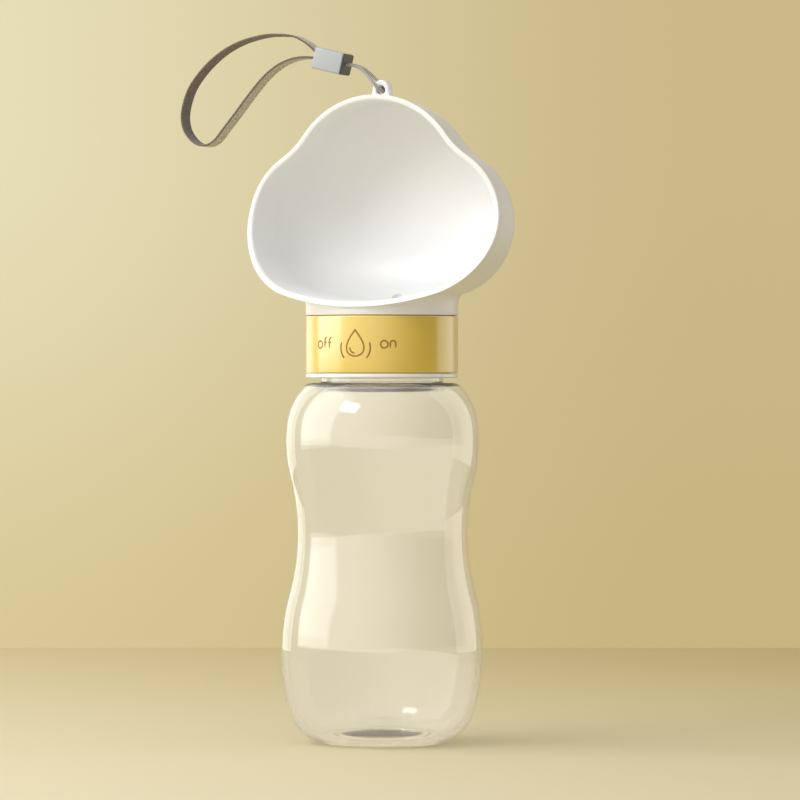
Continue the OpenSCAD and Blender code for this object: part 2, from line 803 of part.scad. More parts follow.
module bead_sleeve() {
  color(bead_grey) difference() {
    bead_bar(bead_w, bead_h, 1.7, -bead_l / 2, bead_l / 2);
    bead_bar(bead_bore_w, bead_bore_h, 0.8, -bead_l / 2 - 1, bead_l / 2 + 1);
  }
}

module bead_core() {
  color(dark_grey) bead_bar(
    bead_bore_w - 2 * slip, bead_bore_h - 2 * slip, 0.8 - slip,
    strap_recess - bead_l / 2, bead_l / 2 - cord_recess
  );
}

// Round cord along a route, one ring of 8 points at each of its points
module cord(route, d) {
  n = len(route);
  ways = [for (i = [0:n - 1]) let (t = route[min(i + 1, n - 1)] - route[max(i - 1, 0)]) t / norm(t)];
  points = [for (i = [0:n - 1]) let (
      side = cross([0, 0, 1], ways[i]),
      across = side / norm(side),
      up = cross(ways[i], across)
    ) for (k = [0:7]) route[i] + d / 2 * (across * cos(45 * k) + up * sin(45 * k))];
  sides = [for (i = [0:n - 2], k = [0:7]) let (a = 8 * i + k, b = 8 * i + (k + 1) % 8)
    each [[a, a + 8, b], [b, a + 8, b + 8]]];
  first = [for (k = [1:6]) [0, k, k + 1]];
  last = [for (k = [1:6]) [8 * (n - 1), 8 * (n - 1) + k + 1, 8 * (n - 1) + k]];
  polyhedron(points, concat(sides, first, last));
}

module lanyard_cord() {
  color(dark_grey) cord(smooth_route(cord_route, 3), cord_d);
}

// Both edges of a band of thickness t along a flat route
function band(route, t) =
  let (
    n = len(route),
    across = [for (i = [0:n - 1]) let (w = route[min(i + 1, n - 1)] - route[max(i - 1, 0)]) [-w.y, w.x] / norm(w)]
  )
  concat([for (i = [0:n - 1]) route[i] + across[i] * t / 2], [for (i = [n - 1:-1:0]) route[i] - across[i] * t / 2]);

module wrist_strap() {
  color(webbing_brown) translate([0, lug_y, 0]) rotate([90, 0, 0])
    linear_extrude(height = strap_w, center = true) polygon(band(smooth_route(strap_route, 3), strap_t));
}

bottle_body();
neck_gasket();
valve_base();
inlet_seal();
skirt_o_ring();
centre_screw();
screw_washer();
valve_seat();
outlet_seal();
seat_o_ring();
seat_gasket();
outlet_duct();
duct_o_ring();
drinking_bowl();
bead_sleeve();
bead_core();
lanyard_cord();
wrist_strap();
collar_ring();
valve_disc();
post_o_ring();
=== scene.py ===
# %% [markdown]
# # A dog's travel water bottle
# The part is a clear bottle with a white screw cap, a yellow collar that turns to let water
# through, a cloud-shaped bowl on top and a wrist lanyard. Its sizes, joints and inner parts come
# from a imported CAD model. This notebook adds what CAD doesn't give: smooth curved meshes,
# finishes, light and a camera. Lengths below are written in millimetres, because that is how the
# part was drawn, and are turned into Blender's metres only when a mesh is made.

import bpy
import numpy as np
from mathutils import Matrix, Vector
from mathutils.bvhtree import BVHTree


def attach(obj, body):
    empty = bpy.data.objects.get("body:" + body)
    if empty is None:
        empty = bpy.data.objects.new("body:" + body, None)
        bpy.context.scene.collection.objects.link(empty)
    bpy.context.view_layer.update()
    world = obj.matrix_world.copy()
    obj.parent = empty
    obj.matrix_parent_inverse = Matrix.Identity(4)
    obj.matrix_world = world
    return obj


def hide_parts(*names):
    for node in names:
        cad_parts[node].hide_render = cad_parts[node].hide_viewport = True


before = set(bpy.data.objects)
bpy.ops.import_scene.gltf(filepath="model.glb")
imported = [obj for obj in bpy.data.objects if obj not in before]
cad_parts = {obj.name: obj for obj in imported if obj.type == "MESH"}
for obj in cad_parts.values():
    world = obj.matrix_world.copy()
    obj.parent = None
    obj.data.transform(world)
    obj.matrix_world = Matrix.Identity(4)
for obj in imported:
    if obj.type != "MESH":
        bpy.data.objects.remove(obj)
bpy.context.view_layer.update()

# %% [markdown]
# ## The camera
# The picture was taken level, from 20.5 degrees to the right of the bowl's front, with a long
# lens. 800 pixels span 277 mm at the bottle, so at 1.68 m the lens must see 9.4 degrees. The
# bottle stands a little left of the middle: a small lens shift does that without turning the
# upright lines.

# %% Camera
MM = 0.001
VIEW_TURN = np.radians(20.5)
VIEW_DISTANCE = 1680
EYE_HEIGHT = 127.5
PICTURE_MM, PICTURE_PX = 277.2, 800
SENSOR = 36
SHIFT_RIGHT, SHIFT_UP = 18, -25
TO_RIGHT = np.array([np.cos(VIEW_TURN), np.sin(VIEW_TURN), 0])
TO_EYE = np.array([np.sin(VIEW_TURN), -np.cos(VIEW_TURN), 0])
UP = np.array([0, 0, 1])


def seen_from_camera(right, toward, up):
    """A point given by how far it is to the picture's right, towards the camera and up, in mm."""
    return right * TO_RIGHT + toward * TO_EYE + up * UP


camera_data = bpy.data.cameras.new("camera")
camera_data.sensor_width = SENSOR
camera_data.lens = SENSOR * VIEW_DISTANCE / PICTURE_MM
camera_data.shift_x = SHIFT_RIGHT / PICTURE_PX
camera_data.shift_y = SHIFT_UP / PICTURE_PX
camera_data.clip_end = 20
camera = bpy.data.objects.new("camera", camera_data)
camera.location = seen_from_camera(0, VIEW_DISTANCE, EYE_HEIGHT) * MM
camera.rotation_euler = (np.pi / 2, 0, VIEW_TURN)
bpy.context.scene.collection.objects.link(camera)
bpy.context.scene.camera = camera
print("lens", round(camera_data.lens, 1), "mm")

# %% [markdown]
# ## Grids of points
# Nearly every piece here is a grid: rows of points along one direction, columns along the other.
# Once the points are an array, the faces between neighbours are worked out from the row and
# column numbers, so one helper serves the bottle, the bowl, the cord and the webbing alike.

# %% Helpers for meshes


def grid_faces(rows, columns, around_rows=False):
    """Four-sided faces of a grid whose rows are rings.

    The point at (i, j) joins (i, j + 1), (i + 1, j + 1) and (i + 1, j).
    """
    first_rows = np.arange(rows if around_rows else rows - 1)
    i, j = np.meshgrid(first_rows, np.arange(columns), indexing="ij")
    row, below, beside = i * columns, (i + 1) % rows * columns, (j + 1) % columns
    return np.stack([row + j, row + beside, below + beside, below + j], -1).reshape(-1, 4)


def tube_faces(rows, columns):
    """Faces of such a grid with one flat face over the first ring and one over the last."""
    ring = np.arange(columns)
    return [grid_faces(rows, columns), ring[None, ::-1], ring[None] + (rows - 1) * columns]


def grid_uv(rows, columns, u, v):
    """UV of each face corner of such a grid, where u has one value more than there are columns."""
    i, j = np.meshgrid(np.arange(rows - 1), np.arange(columns), indexing="ij")
    corners = [(j, i), (j + 1, i), (j + 1, i + 1), (j, i + 1)]
    return np.stack([np.stack([u[a], v[b]], -1) for a, b in corners], 2).reshape(-1, 2)


def fan(tip, ring, outwards):
    """Triangles from the point tip to each side of the ring."""
    after = np.roll(ring, -1)
    sides = [ring, after] if outwards else [after, ring]
    return np.stack([np.full(len(ring), tip), *sides], -1)


def enclosed(points, faces):
    """Volume inside the faces, negative if they are inside out.

    It is the sum of a . (b x c) / 6 over their triangles a, b, c.
    """
    total = 0
    for f in faces:
        for k in range(1, f.shape[1] - 1):
            a, b, c = points[f[:, 0]], points[f[:, k]], points[f[:, k + 1]]
            total += np.einsum("ij,ij->", a, np.cross(b, c)) / 6
    return total


# %% [markdown]
# Points and faces become a Blender mesh in one place. There the faces are turned outwards if the
# volume that they enclose comes out negative, edges sharper than an angle are kept sharp, and the
# piece is told which moving body it rides on.

# %% Making a piece


def make_piece(name, points, faces, body, sharp, uv=None):
    """Makes one closed piece from points in mm and a list of face arrays, faces outwards."""
    if enclosed(points, faces) < 0:
        faces = [f[:, ::-1] for f in faces]
        uv = None if uv is None else uv.reshape(-1, 4, 2)[:, ::-1].reshape(-1, 2)
    mesh = bpy.data.meshes.new(name)
    mesh.from_pydata(points * MM, [], [f for group in faces for f in group.tolist()])
    if uv is not None:
        layer = mesh.uv_layers.new(name="UVMap")
        flat = np.zeros((len(mesh.loops), 2))
        flat[: len(uv)] = uv
        layer.data.foreach_set("uv", flat.ravel().astype(np.float32))
    mesh.validate()
    mesh.shade_smooth()
    mesh.set_sharp_from_angle(angle=np.radians(sharp))
    piece = bpy.data.objects.new(name, mesh)
    bpy.context.scene.collection.objects.link(piece)
    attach(piece, body)
    volume = enclosed(points, faces) / 1000
    print(f"{name}: {len(points)} points, {sum(map(len, faces))} faces, {volume:.2f} cm3")
    return piece


def turned(name, profile, body, around, sharp, change=None):
    """A surface of revolution: each profile point (r, z) becomes the ring (r cos a, r sin a, z).

    A profile that starts and ends on the axis is closed by poles, any other is joined end to end.
    """
    profile = np.asarray(profile, float)
    poles = profile[0, 0] < 1e-6 and profile[-1, 0] < 1e-6
    body_of_profile = profile[1:-1] if poles else profile
    a = np.linspace(0, 2 * np.pi, around, endpoint=False)
    r, z = body_of_profile[:, :1] + 0 * a, body_of_profile[:, 1:] + 0 * a
    if change is not None:
        r = change(r, z, a)
    points = np.stack([r * np.cos(a), r * np.sin(a), z], -1).reshape(-1, 3)
    rows = len(body_of_profile)
    faces = [grid_faces(rows, around, around_rows=not poles)]
    if poles:
        points = np.vstack([points, [0, 0, profile[0, 1]], [0, 0, profile[-1, 1]]])
        ring = np.arange(around)
        faces.append(fan(len(points) - 2, ring, False))
        faces.append(fan(len(points) - 1, ring + (rows - 1) * around, True))
    return make_piece(name, points, faces, body, sharp)


def arc(x, y, r, start, end, steps):
    """Points (x + r cos a, y + r sin a) while a runs from start to end, in degrees."""
    a = np.radians(np.linspace(start, end, steps + 1))
    return np.stack([x + r * np.cos(a), y + r * np.sin(a)], -1)


# %% [markdown]
# ## Cord and webbing
# Two soft pieces hang on the bowl: a thin doubled cord through the lug and a loop of webbing for
# the wrist, joined by a bead. Each could be a Blender curve with a bevel, but its own mesh along
# a smooth route also carries UVs, so that the braid and the weave follow every bend.

# %% Routes


def smooth_route(points, steps):
    """Catmull-Rom curve: between b and c it is half of
    2b + (c - a) t + (2a - 5b + 4c - d) t^2 + (3b - a - 3c + d) t^3."""
    p = np.asarray(points, float)
    a, b, c, d = np.vstack([p[:1], p[:-2]]), p[:-1], p[1:], np.vstack([p[2:], p[-1:]])
    t = (np.arange(steps) / steps)[None, :, None]
    a, b, c, d = (q[:, None] for q in (a, b, c, d))
    square, cube = 2 * a - 5 * b + 4 * c - d, 3 * b - a - 3 * c + d
    curve = 0.5 * (2 * b + (c - a) * t + square * t**2 + cube * t**3)
    return np.vstack([curve.reshape(-1, p.shape[1]), p[-1:]])


def along(route):
    """Distance of each point of a route from its start."""
    return np.append(0, np.cumsum(np.linalg.norm(np.diff(route, axis=0), axis=1)))


def directions(route):
    """Unit direction of a route at each of its points, from the point before to the point after."""
    way = np.gradient(route, axis=0)
    return way / np.linalg.norm(way, axis=1, keepdims=True)


LUG_Y = 0.5
STEPS_PER_POINT = 8
# x, y and z of the cord from the bead through the lug's hole and back
cord_points = [
    (-13.3, -0.5, 235.3), (-10.4, -0.8, 235), (-7.2, -1.5, 233.6), (-4.6, -2.2, 231.3),
    (-2.5, -2.7, 229), (-0.9, -2.5, 227), (0.1, -1.2, 225.9), (0.2, 0.5, 225.8),
    (0.1, 2.2, 225.9), (-0.9, 3.5, 227), (-2.5, 3.7, 229), (-4.6, 3.2, 231.3),
    (-7.2, 2.5, 233.6), (-10.4, 1.8, 235), (-13.3, 1.5, 235.3),
]
# x and z of the webbing, which lies in one plane
strap_points = [
    (-23.6, 239.8), (-25.9, 242), (-28.8, 244), (-32.5, 245.6), (-38.3, 246.2), (-44.2, 245.9),
    (-52, 244), (-59.2, 240.5), (-66, 234.9), (-71.4, 227.9), (-73.9, 220.2), (-73.6, 214.8),
    (-71.5, 211), (-68.3, 208.5), (-64.8, 208.1), (-61.6, 209.8), (-58.2, 213.8), (-53.4, 219.6),
    (-48.2, 226), (-43.3, 231.4), (-38.4, 235.2), (-33.6, 237.3), (-29.2, 238.1), (-24.1, 237.9),
]
cord_route = smooth_route(cord_points, STEPS_PER_POINT)
strap_line = smooth_route(strap_points, STEPS_PER_POINT)
strap_route = np.insert(strap_line, 1, LUG_Y, axis=1)

# %% [markdown]
# A cross-section is carried along the route: at each point it needs two directions square to the
# way ahead. For the cord these come from the up direction, which never lies along it. For the
# webbing they are the axis that the whole loop bends about and the one across its thickness.

# %% Sweep


def sweep(name, route, section, across):
    """Carries section (s, t) along the route: point = route + s * side + t * (way x side), where
    side is the part of across that is square to the way."""
    way = directions(route)
    side = across - np.einsum("ij,ij->i", way, across)[:, None] * way
    side /= np.linalg.norm(side, axis=1, keepdims=True)
    up = np.cross(way, side)
    s, t = section[None, :, :1], section[None, :, 1:]
    points = (route[:, None] + s * side[:, None] + t * up[:, None]).reshape(-1, 3)
    size = len(route), len(section)
    uv = grid_uv(*size, along(np.vstack([section, section[:1]])), along(route))
    return make_piece(name, points, tube_faces(*size), "head", 60, uv)


def rounded_box(w, h, r, steps=5):
    """Outline of a box w wide and h high whose corners are quarter circles of radius r."""
    x, y = w / 2 - r, h / 2 - r
    quarters = [arc(x, y, r, 0, 90, steps), arc(-x, y, r, 90, 180, steps)]
    quarters += [arc(-x, -y, r, 180, 270, steps), arc(x, -y, r, 270, 360, steps)]
    return np.vstack(quarters)


# %% Cord and webbing
CORD_D = 1.1
STRAP_W, STRAP_T, STRAP_EDGE, STRAP_COLUMNS = 7.4, 0.7, 0.25, 25
ACROSS_CORD, ACROSS_STRAP = np.array([[0, 0, 1.0]]), np.array([[0, 1.0, 0]])
cord_section = arc(0, 0, CORD_D / 2, 0, 345, 23)
cord_piece = sweep("cord_braid", cord_route, cord_section, ACROSS_CORD)
flat_half, flat = STRAP_W / 2 - STRAP_EDGE, np.full(STRAP_COLUMNS, STRAP_T / 2)
widths = np.linspace(-flat_half, flat_half, STRAP_COLUMNS)
strap_section = np.vstack(
    [
        np.stack([widths, -flat], -1),
        arc(flat_half, 0, STRAP_T / 2, -70, 70, 6),
        np.stack([widths[::-1], flat], -1),
        arc(-flat_half, 0, STRAP_T / 2, 110, 250, 6),
    ]
)
strap_section[:, 0] = np.clip(strap_section[:, 0], -STRAP_W / 2, STRAP_W / 2)
strap_piece = sweep("strap_webbing", strap_route, strap_section, ACROSS_STRAP)
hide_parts("lanyard_cord")
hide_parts("wrist_strap")

# %% [markdown]
# ## The bead
# Cord and webbing meet in a small grey bead with a dark end. Its sleeve is a rounded box section
# pushed along the bead's axis, with its ends drawn in a little, so that the edges catch the
# light. Of the dark plug inside, only the plate shows that closes the end where the cord comes
# out, and so only that plate is made.

# %% Bead
BEAD_CENTRE = np.array([-18.5, LUG_Y, 236.55])
BEAD_TILT = np.radians(13.5)
BEAD_LENGTH, BEAD_W, BEAD_H, BEAD_CORNER, BEAD_EDGE = 11.2, 9.6, 7.6, 0.8, 0.3
PLUG_SHOWS, PLUG_LENGTH, PLUG_SMALLER = 0.55, 0.75, 0.3
bead_way = np.array([np.cos(BEAD_TILT), 0, -np.sin(BEAD_TILT)])
bead_up = np.array([np.sin(BEAD_TILT), 0, np.cos(BEAD_TILT)])


def bead_bar(name, start, end, smaller):
    """Bar along the bead's axis from start to end, whose end edges are rounded over."""
    a = np.radians(np.linspace(0, 90, 6))
    inset, place = BEAD_EDGE * (1 - np.sin(a)), BEAD_EDGE * (1 - np.cos(a))
    steps = np.concatenate([start + place, (end - place)[::-1]])
    w, h = BEAD_W - smaller, BEAD_H - smaller
    rings = [
        rounded_box(w - 2 * i, h - 2 * i, BEAD_CORNER - i / 2) for i in [*inset, *inset[::-1]]
    ]
    grid = [
        BEAD_CENTRE + step * bead_way + ring @ np.array([[0, 1, 0], bead_up])
        for step, ring in zip(steps, rings)
    ]
    faces = tube_faces(len(steps), len(rings[0]))
    return make_piece(name, np.vstack(grid), faces, "head", 50)


half = BEAD_LENGTH / 2
bead_piece = bead_bar("bead_shell", -half, half - PLUG_SHOWS, 0)
plug_piece = bead_bar("bead_end", half - PLUG_LENGTH, half, PLUG_SMALLER)
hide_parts("bead_sleeve")
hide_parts("bead_core")

# %% [markdown]

# %% [markdown]
# ## The bottle
# The clear bottle is blown plastic: two bulges, a waist, a domed base and a threaded neck. Glass
# shows every flat spot, so the bottle is turned again here from the same circles as in CAD, with
# many more points. Only the push-up is flatter here, as in the picture. Its outline goes up the
# outside, over the mouth and down the inside, because light has to cross a real wall to bend as
# it does in the picture.

# %% Bottle outline
BULGE_R, BULGE_Z = 35, 32.2
WAIST_R, WAIST_Z, WAIST_ARC = 29.5, 72.5, 75.6
CHEST_R, CHEST_Z = 33.6, 104.3
SHOULDER_Z, SHOULDER_ARC, SHOULDER_ARC_Z, SHOULDER_EDGE = 124.8, 22.5, 108.3, 3.2
CORNER_ARC, FOOT_CUT, BOTTLE_WALL = 15.2, 0.2, 2.2
NECK_R, MOUTH_R, NECK_TOP = 21.2, 19.2, 139
PUNT_R, PUNT_H = 15.8, 2


def bulge_arc(big_r, rise):
    """Radius of a bulge that touches the waist's curve: (rise^2 + d^2) / 2d less that curve."""
    d = big_r - WAIST_R
    return (rise**2 + d**2) / (2 * d) - WAIST_ARC


def asin(x):
    """Angle in degrees whose sine is x."""
    return np.degrees(np.arcsin(x))


low_arc, high_arc = bulge_arc(BULGE_R, WAIST_Z - BULGE_Z), bulge_arc(CHEST_R, CHEST_Z - WAIST_Z)
low_x, high_x = BULGE_R - low_arc, CHEST_R - high_arc
low_turn = asin((WAIST_Z - BULGE_Z) / (low_arc + WAIST_ARC))
high_turn = asin((CHEST_Z - WAIST_Z) / (high_arc + WAIST_ARC))
corner_z = CORNER_ARC - FOOT_CUT
corner_turn = asin((BULGE_Z - corner_z) / (low_arc - CORNER_ARC))
corner_x = low_x + (low_arc - CORNER_ARC) * np.cos(np.radians(corner_turn))
shoulder_turn = asin((SHOULDER_ARC_Z - CHEST_Z) / (high_arc - SHOULDER_ARC))
shoulder_x = high_x + (high_arc - SHOULDER_ARC) * np.cos(np.radians(shoulder_turn))
edge_z = SHOULDER_Z - SHOULDER_EDGE
edge_turn = asin((edge_z - SHOULDER_ARC_Z) / (SHOULDER_ARC - SHOULDER_EDGE))
edge_x = shoulder_x + (SHOULDER_ARC - SHOULDER_EDGE) * np.cos(np.radians(edge_turn))


def bottle_side(t):
    """The bottle's side from foot to shoulder as circles in a row, each set inwards by t."""
    foot = -90 if t > 0 else -asin(corner_z / CORNER_ARC)
    circles = [
        arc(corner_x, corner_z, CORNER_ARC - t, foot, -corner_turn, 40),
        arc(low_x, BULGE_Z, low_arc - t, -corner_turn, low_turn, 40)[1:],
        arc(WAIST_R + WAIST_ARC, WAIST_Z, WAIST_ARC + t, 180 + low_turn, 180 - high_turn, 60)[1:],
        arc(high_x, CHEST_Z, high_arc - t, -high_turn, shoulder_turn, 30)[1:],
        arc(shoulder_x, SHOULDER_ARC_Z, SHOULDER_ARC - t, shoulder_turn, edge_turn, 24)[1:],
        arc(edge_x, edge_z, SHOULDER_EDGE - t, edge_turn, 90, 12)[1:],
    ]
    return np.vstack(circles)


def dome(r, z, h, steps):
    """Cap of a ball from radius r at height z to the axis, h high in the middle."""
    ball = (r**2 + h**2) / (2 * h)
    x = r * (1 - np.arange(steps + 1) / steps)
    return np.stack([x, z + np.sqrt(ball**2 - x**2) - (ball - h)], -1)


# %% [markdown]
# The foot of the real bottle isn't a sharp ring: the push-up turns into the standing ring over a
# small radius. The thread is added where the turned mesh is made, as a change of radius that
# climbs with the angle, so that neck and thread are one skin, which clear plastic needs.

# %% Bottle mesh
THREAD_PITCH, THREAD_TURNS, THREAD_H, THREAD_Z = 4, 2, 1.1, 128.2
ROOT_W, CREST_W, RUN_OUT = 2.2, 1.0, 1 / 12
LIP, THROAT, NECK_ROWS = 0.4, 1.6, 64
DOME_IN, DOME_LOW, INNER_RISE = 1.2, 0.55, 0.6
punt = dome(PUNT_R - DOME_IN, DOME_LOW, PUNT_H - DOME_LOW, 24)
ring_turn = [[PUNT_R - 0.5, 0.18], [PUNT_R + 0.1, 0.02], [PUNT_R + 0.6, 0]]
outside = np.vstack([punt[::-1], ring_turn, bottle_side(0)])
neck_z = np.linspace(SHOULDER_Z + 0.3, NECK_TOP - LIP, NECK_ROWS)
throat_z = SHOULDER_Z - BOTTLE_WALL + THROAT
mouth = np.vstack(
    [
        [[NECK_R + 0.9, SHOULDER_Z], [NECK_R + 0.25, SHOULDER_Z + 0.08]],
        np.stack([np.full(NECK_ROWS, NECK_R), neck_z], -1),
        arc(NECK_R - LIP, NECK_TOP - LIP, LIP, 30, 90, 3),
        arc(MOUTH_R + LIP, NECK_TOP - LIP, LIP, 90, 180, 4),
        [[MOUTH_R, SHOULDER_Z + 2], [MOUTH_R, throat_z]],
        arc(MOUTH_R + THROAT, throat_z, THROAT, 180, 270, 8)[1:],
    ]
)
inner_punt = dome(corner_x, BOTTLE_WALL - FOOT_CUT, PUNT_H + INNER_RISE, 40)
inside = np.vstack([bottle_side(BOTTLE_WALL)[::-1], inner_punt[1:]])
bottle_outline = np.vstack([outside, mouth, inside])


def cut_thread(r, z, a):
    """Adds the ridge: its middle is at z0 + pitch * turns, and both flanks fall off evenly."""
    added = np.zeros_like(r)
    for whole_turns in range(THREAD_TURNS):
        turns = whole_turns + a / (2 * np.pi)
        away = np.abs(z - THREAD_Z - THREAD_PITCH * turns)
        flank = np.clip((ROOT_W / 2 - away) / ((ROOT_W - CREST_W) / 2), 0, 1)
        fade = np.clip(np.minimum(turns, THREAD_TURNS - turns) / RUN_OUT, 0, 1)
        added = np.maximum(added, THREAD_H * flank * fade)
    return r + added * (np.abs(r - NECK_R) < 0.01)


bottle_piece = turned(
    "bottle_clear", bottle_outline, "bottle", 180, 50, cut_thread
)
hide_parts("bottle_body")

# %% [markdown]
# ## The collar
# The glossy collar is what a thumb turns between OFF and ON. It is a plain turned ring with
# softened edges. Its marks are shallow raised strokes, each a flattened half-round bead laid
# along a line on the collar's skin, which is how such marks are moulded. A drop between the words
# stands for water.

# %% Collar ring
COLLAR_R, COLLAR_IN, COLLAR_LOW, COLLAR_TOP, COLLAR_EDGE = 26.4, 24.4, 128.2, 147.9, 0.45
edge_r = COLLAR_R - COLLAR_EDGE
collar_outline = np.vstack(
    [
        [[COLLAR_IN, COLLAR_LOW]],
        arc(edge_r, COLLAR_LOW + COLLAR_EDGE, COLLAR_EDGE, -90, 0, 8),
        arc(edge_r, COLLAR_TOP - COLLAR_EDGE, COLLAR_EDGE, 0, 90, 8),
        [[COLLAR_IN, COLLAR_TOP]],
    ]
)
collar_piece = turned("collar_grip", collar_outline, "collar", 240, 40)
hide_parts("collar_ring")

# %% [markdown]
# The letters are drawn as strokes on flat paper first, x along the collar and z up, and then
# rolled round it: x becomes an angle of x / R. An o is a circle, an f a hook with a bar, an n an
# arch.

# %% Marks on the collar
MARK_Z = 138
STROKE_W, STROKE_H, STROKE_ROOT, STROKE_TIP = 0.62, 0.1, 0.15, 0.2


def stroke(name, line, closed=False):
    """Half-round bead along a line on the collar.

    At the share s of half its width it is h * sqrt(1 - s^2) high, and its open ends grow narrow.
    """
    if closed:
        way = np.roll(line, -1, axis=0) - np.roll(line, 1, axis=0)
        fade = np.ones(len(line))
    else:
        way = np.gradient(line, axis=0)
        to_end = np.minimum(along(line), along(line[::-1])[::-1])
        fade = np.clip(to_end / STROKE_TIP, 0.3, 1)
    way /= np.linalg.norm(way, axis=1, keepdims=True)
    normal = np.stack([-way[:, 1], way[:, 0]], -1)
    s = np.array([-1, -0.85, -0.55, 0, 0.55, 0.85, 1])
    height = np.concatenate([STROKE_H * np.sqrt(1 - s**2), [-STROKE_ROOT]])
    width = np.concatenate([s, [0]]) * STROKE_W / 2
    flat = line[:, None] + normal[:, None] * (width[None, :, None] * fade[:, None, None])
    r = COLLAR_R + height[None, :] * np.ones((len(line), 1))
    a = flat[..., 0] / COLLAR_R - np.pi / 2
    points = np.stack([r * np.cos(a), r * np.sin(a), MARK_Z + flat[..., 1]], -1)
    size = points.shape[:2]
    faces = [grid_faces(*size, around_rows=True)] if closed else tube_faces(*size)
    return make_piece(name, points.reshape(-1, 3), faces, "collar", 60)


# %% Letters
LETTER_R, HOOK_R, ARCH_R, STEM_Z = 1.25, 0.8, 0.95, -0.4


def letter_o(x):
    """Closed circle that stands on the line."""
    return arc(x, 0, LETTER_R, 0, 345, 23)


def letter_f(x):
    """Hook: a quarter circle at the top that runs down into a straight stem."""
    hook = arc(x + HOOK_R, 1.5, HOOK_R, 70, 180, 10)
    return np.vstack([hook, [[x, 0.5], [x, STEM_Z], [x, -LETTER_R]]])


def letter_n(x):
    """Arch: half a circle between two stems."""
    stem = np.array([[x - ARCH_R, -LETTER_R], [x - ARCH_R, STEM_Z]])
    return np.vstack([stem, arc(x, 0.3, ARCH_R, 180, 0, 14), stem[::-1] + [2 * ARCH_R, 0]])


def bar(x, z, w):
    """Short level stroke."""
    return np.stack([np.linspace(x, x + w, 6), np.full(6, z)], -1)


# %% Drop and words
DROP_W, DROP_H, DROP_POINT, RIPPLE_R, RIPPLE_Z = 4.3, 4.5, 1.2, 5.4, -1.1
angle = np.radians(np.linspace(0, 352.5, 48))
drop_width = DROP_W * np.sin(angle) * np.sin(angle / 2) ** DROP_POINT
drop_line = np.stack([drop_width, DROP_H * np.cos(angle) + 0.5], -1)
marks = [
    stroke("mark_off_o", letter_o(-15.1), True),
    stroke("mark_off_f1", letter_f(-12.6)),
    stroke("mark_off_f2", letter_f(-10.4)),
    stroke("mark_off_bar1", bar(-13.2, 0.75, 1.5)),
    stroke("mark_off_bar2", bar(-11, 0.75, 1.5)),
    stroke("mark_drop", drop_line, True),
    stroke("mark_drop_shine", arc(0, RIPPLE_Z, 1.9, 175, 265, 14)),
    stroke("mark_ripple_left", arc(0, RIPPLE_Z, RIPPLE_R, 160, 222, 16)),
    stroke("mark_ripple_right", arc(0, RIPPLE_Z, RIPPLE_R, 20, -42, 16)),
    stroke("mark_on_o", letter_o(10.2), True),
    stroke("mark_on_n", letter_n(13.2)),
]

# %% [markdown]
# ## The bowl
# The bowl is a scoop whose mouth has the outline of a small cloud: one big lobe on top, one at
# each side, and a nearly flat underside, all arcs that touch each other. From the rim the wall
# runs back and closes in a dome. As a grid it is simple: one direction goes round the outline,
# the other goes from the back pole over the rim to the inside's pole, and the wall's thickness is
# an inset of the outline.

# %% Cloud outline
HEAD_Z = COLLAR_TOP + 0.2
TOP_R, LOBE_R, NOTCH_R, SOLE_R = 31.7, 26.6, 31, 92
BOWL_WALL, NECK_H = 1.9, 2.8
top_c, lobe_c = np.array([0, 8.0]), np.array([19.4, -4.0])
sole_c = np.array([0, lobe_c[1] + np.sqrt((SOLE_R - LOBE_R) ** 2 - lobe_c[0] ** 2)])
between = lobe_c - top_c
gap = np.linalg.norm(between)
share = ((TOP_R + NOTCH_R) ** 2 - (LOBE_R + NOTCH_R) ** 2 + gap**2) / (2 * gap)
rise = np.sqrt((TOP_R + NOTCH_R) ** 2 - share**2)
notch_c = top_c + (share * between + rise * np.array([-between[1], between[0]])) / gap
SOLE_LOW = sole_c[1] - SOLE_R
BOWL_Z = HEAD_Z + NECK_H - SOLE_LOW


def heading(a, b):
    """Angle of the direction from a to b, from 0 to 360 degrees."""
    return np.degrees(np.arctan2(b[1] - a[1], b[0] - a[0])) % 360


def lobe(centre, r, start, end, steps, hollow=False):
    """Arc of the outline with the direction that points out of it at each point."""
    line = arc(*centre, r, start, end, steps)[1:]
    outwards = (line - centre) / r
    return line, -outwards if hollow else outwards


right_side = [
    lobe(top_c, TOP_R, 90, heading(top_c, notch_c), 18),
    lobe(notch_c, NOTCH_R, heading(notch_c, top_c), heading(notch_c, lobe_c), 16, True),
    lobe(lobe_c, LOBE_R, heading(lobe_c, notch_c), heading(sole_c, lobe_c) - 360, 50),
    lobe(sole_c, SOLE_R, heading(sole_c, lobe_c), 270, 20),
]
half_line = np.vstack([line for line, _ in right_side])
half_out = np.vstack([out for _, out in right_side])
mirror = np.array([-1, 1])
cloud = np.vstack([[[0, top_c[1] + TOP_R]], half_line, half_line[-2::-1] * mirror])
cloud_out = np.vstack([[[0, 1]], half_out, half_out[-2::-1] * mirror])
print("cloud outline:", len(cloud), "points,", np.ptp(cloud, axis=0).round(1), "mm")

# %% [markdown]
# Three functions place the grid. The rim leans: it is straight across the top and sweeps forward
# to the neck below. The wall shrinks a little towards the back, as a moulded wall must to leave
# its mould. In the dome each ring melts from the cloud into an oval while it closes.

# %% Bowl surface
RIM_Y, SWEEP_Z, BACK_Y, BACK_LEAN = 7.4, 7.8, 7, 1
DOME_Y, DRAFT, MIDDLE, SQUARENESS, OVAL = 19, 0.985, -3, 2.3, np.array([44, 33])


def rim_at(w):
    """Depth of the rim at height w: -7.4, and less by 19 * (share of the way down)^2 below."""
    return -RIM_Y - (COLLAR_R - RIM_Y) * (np.maximum(0, SWEEP_Z - w) / (SWEEP_Z - SOLE_LOW)) ** 2


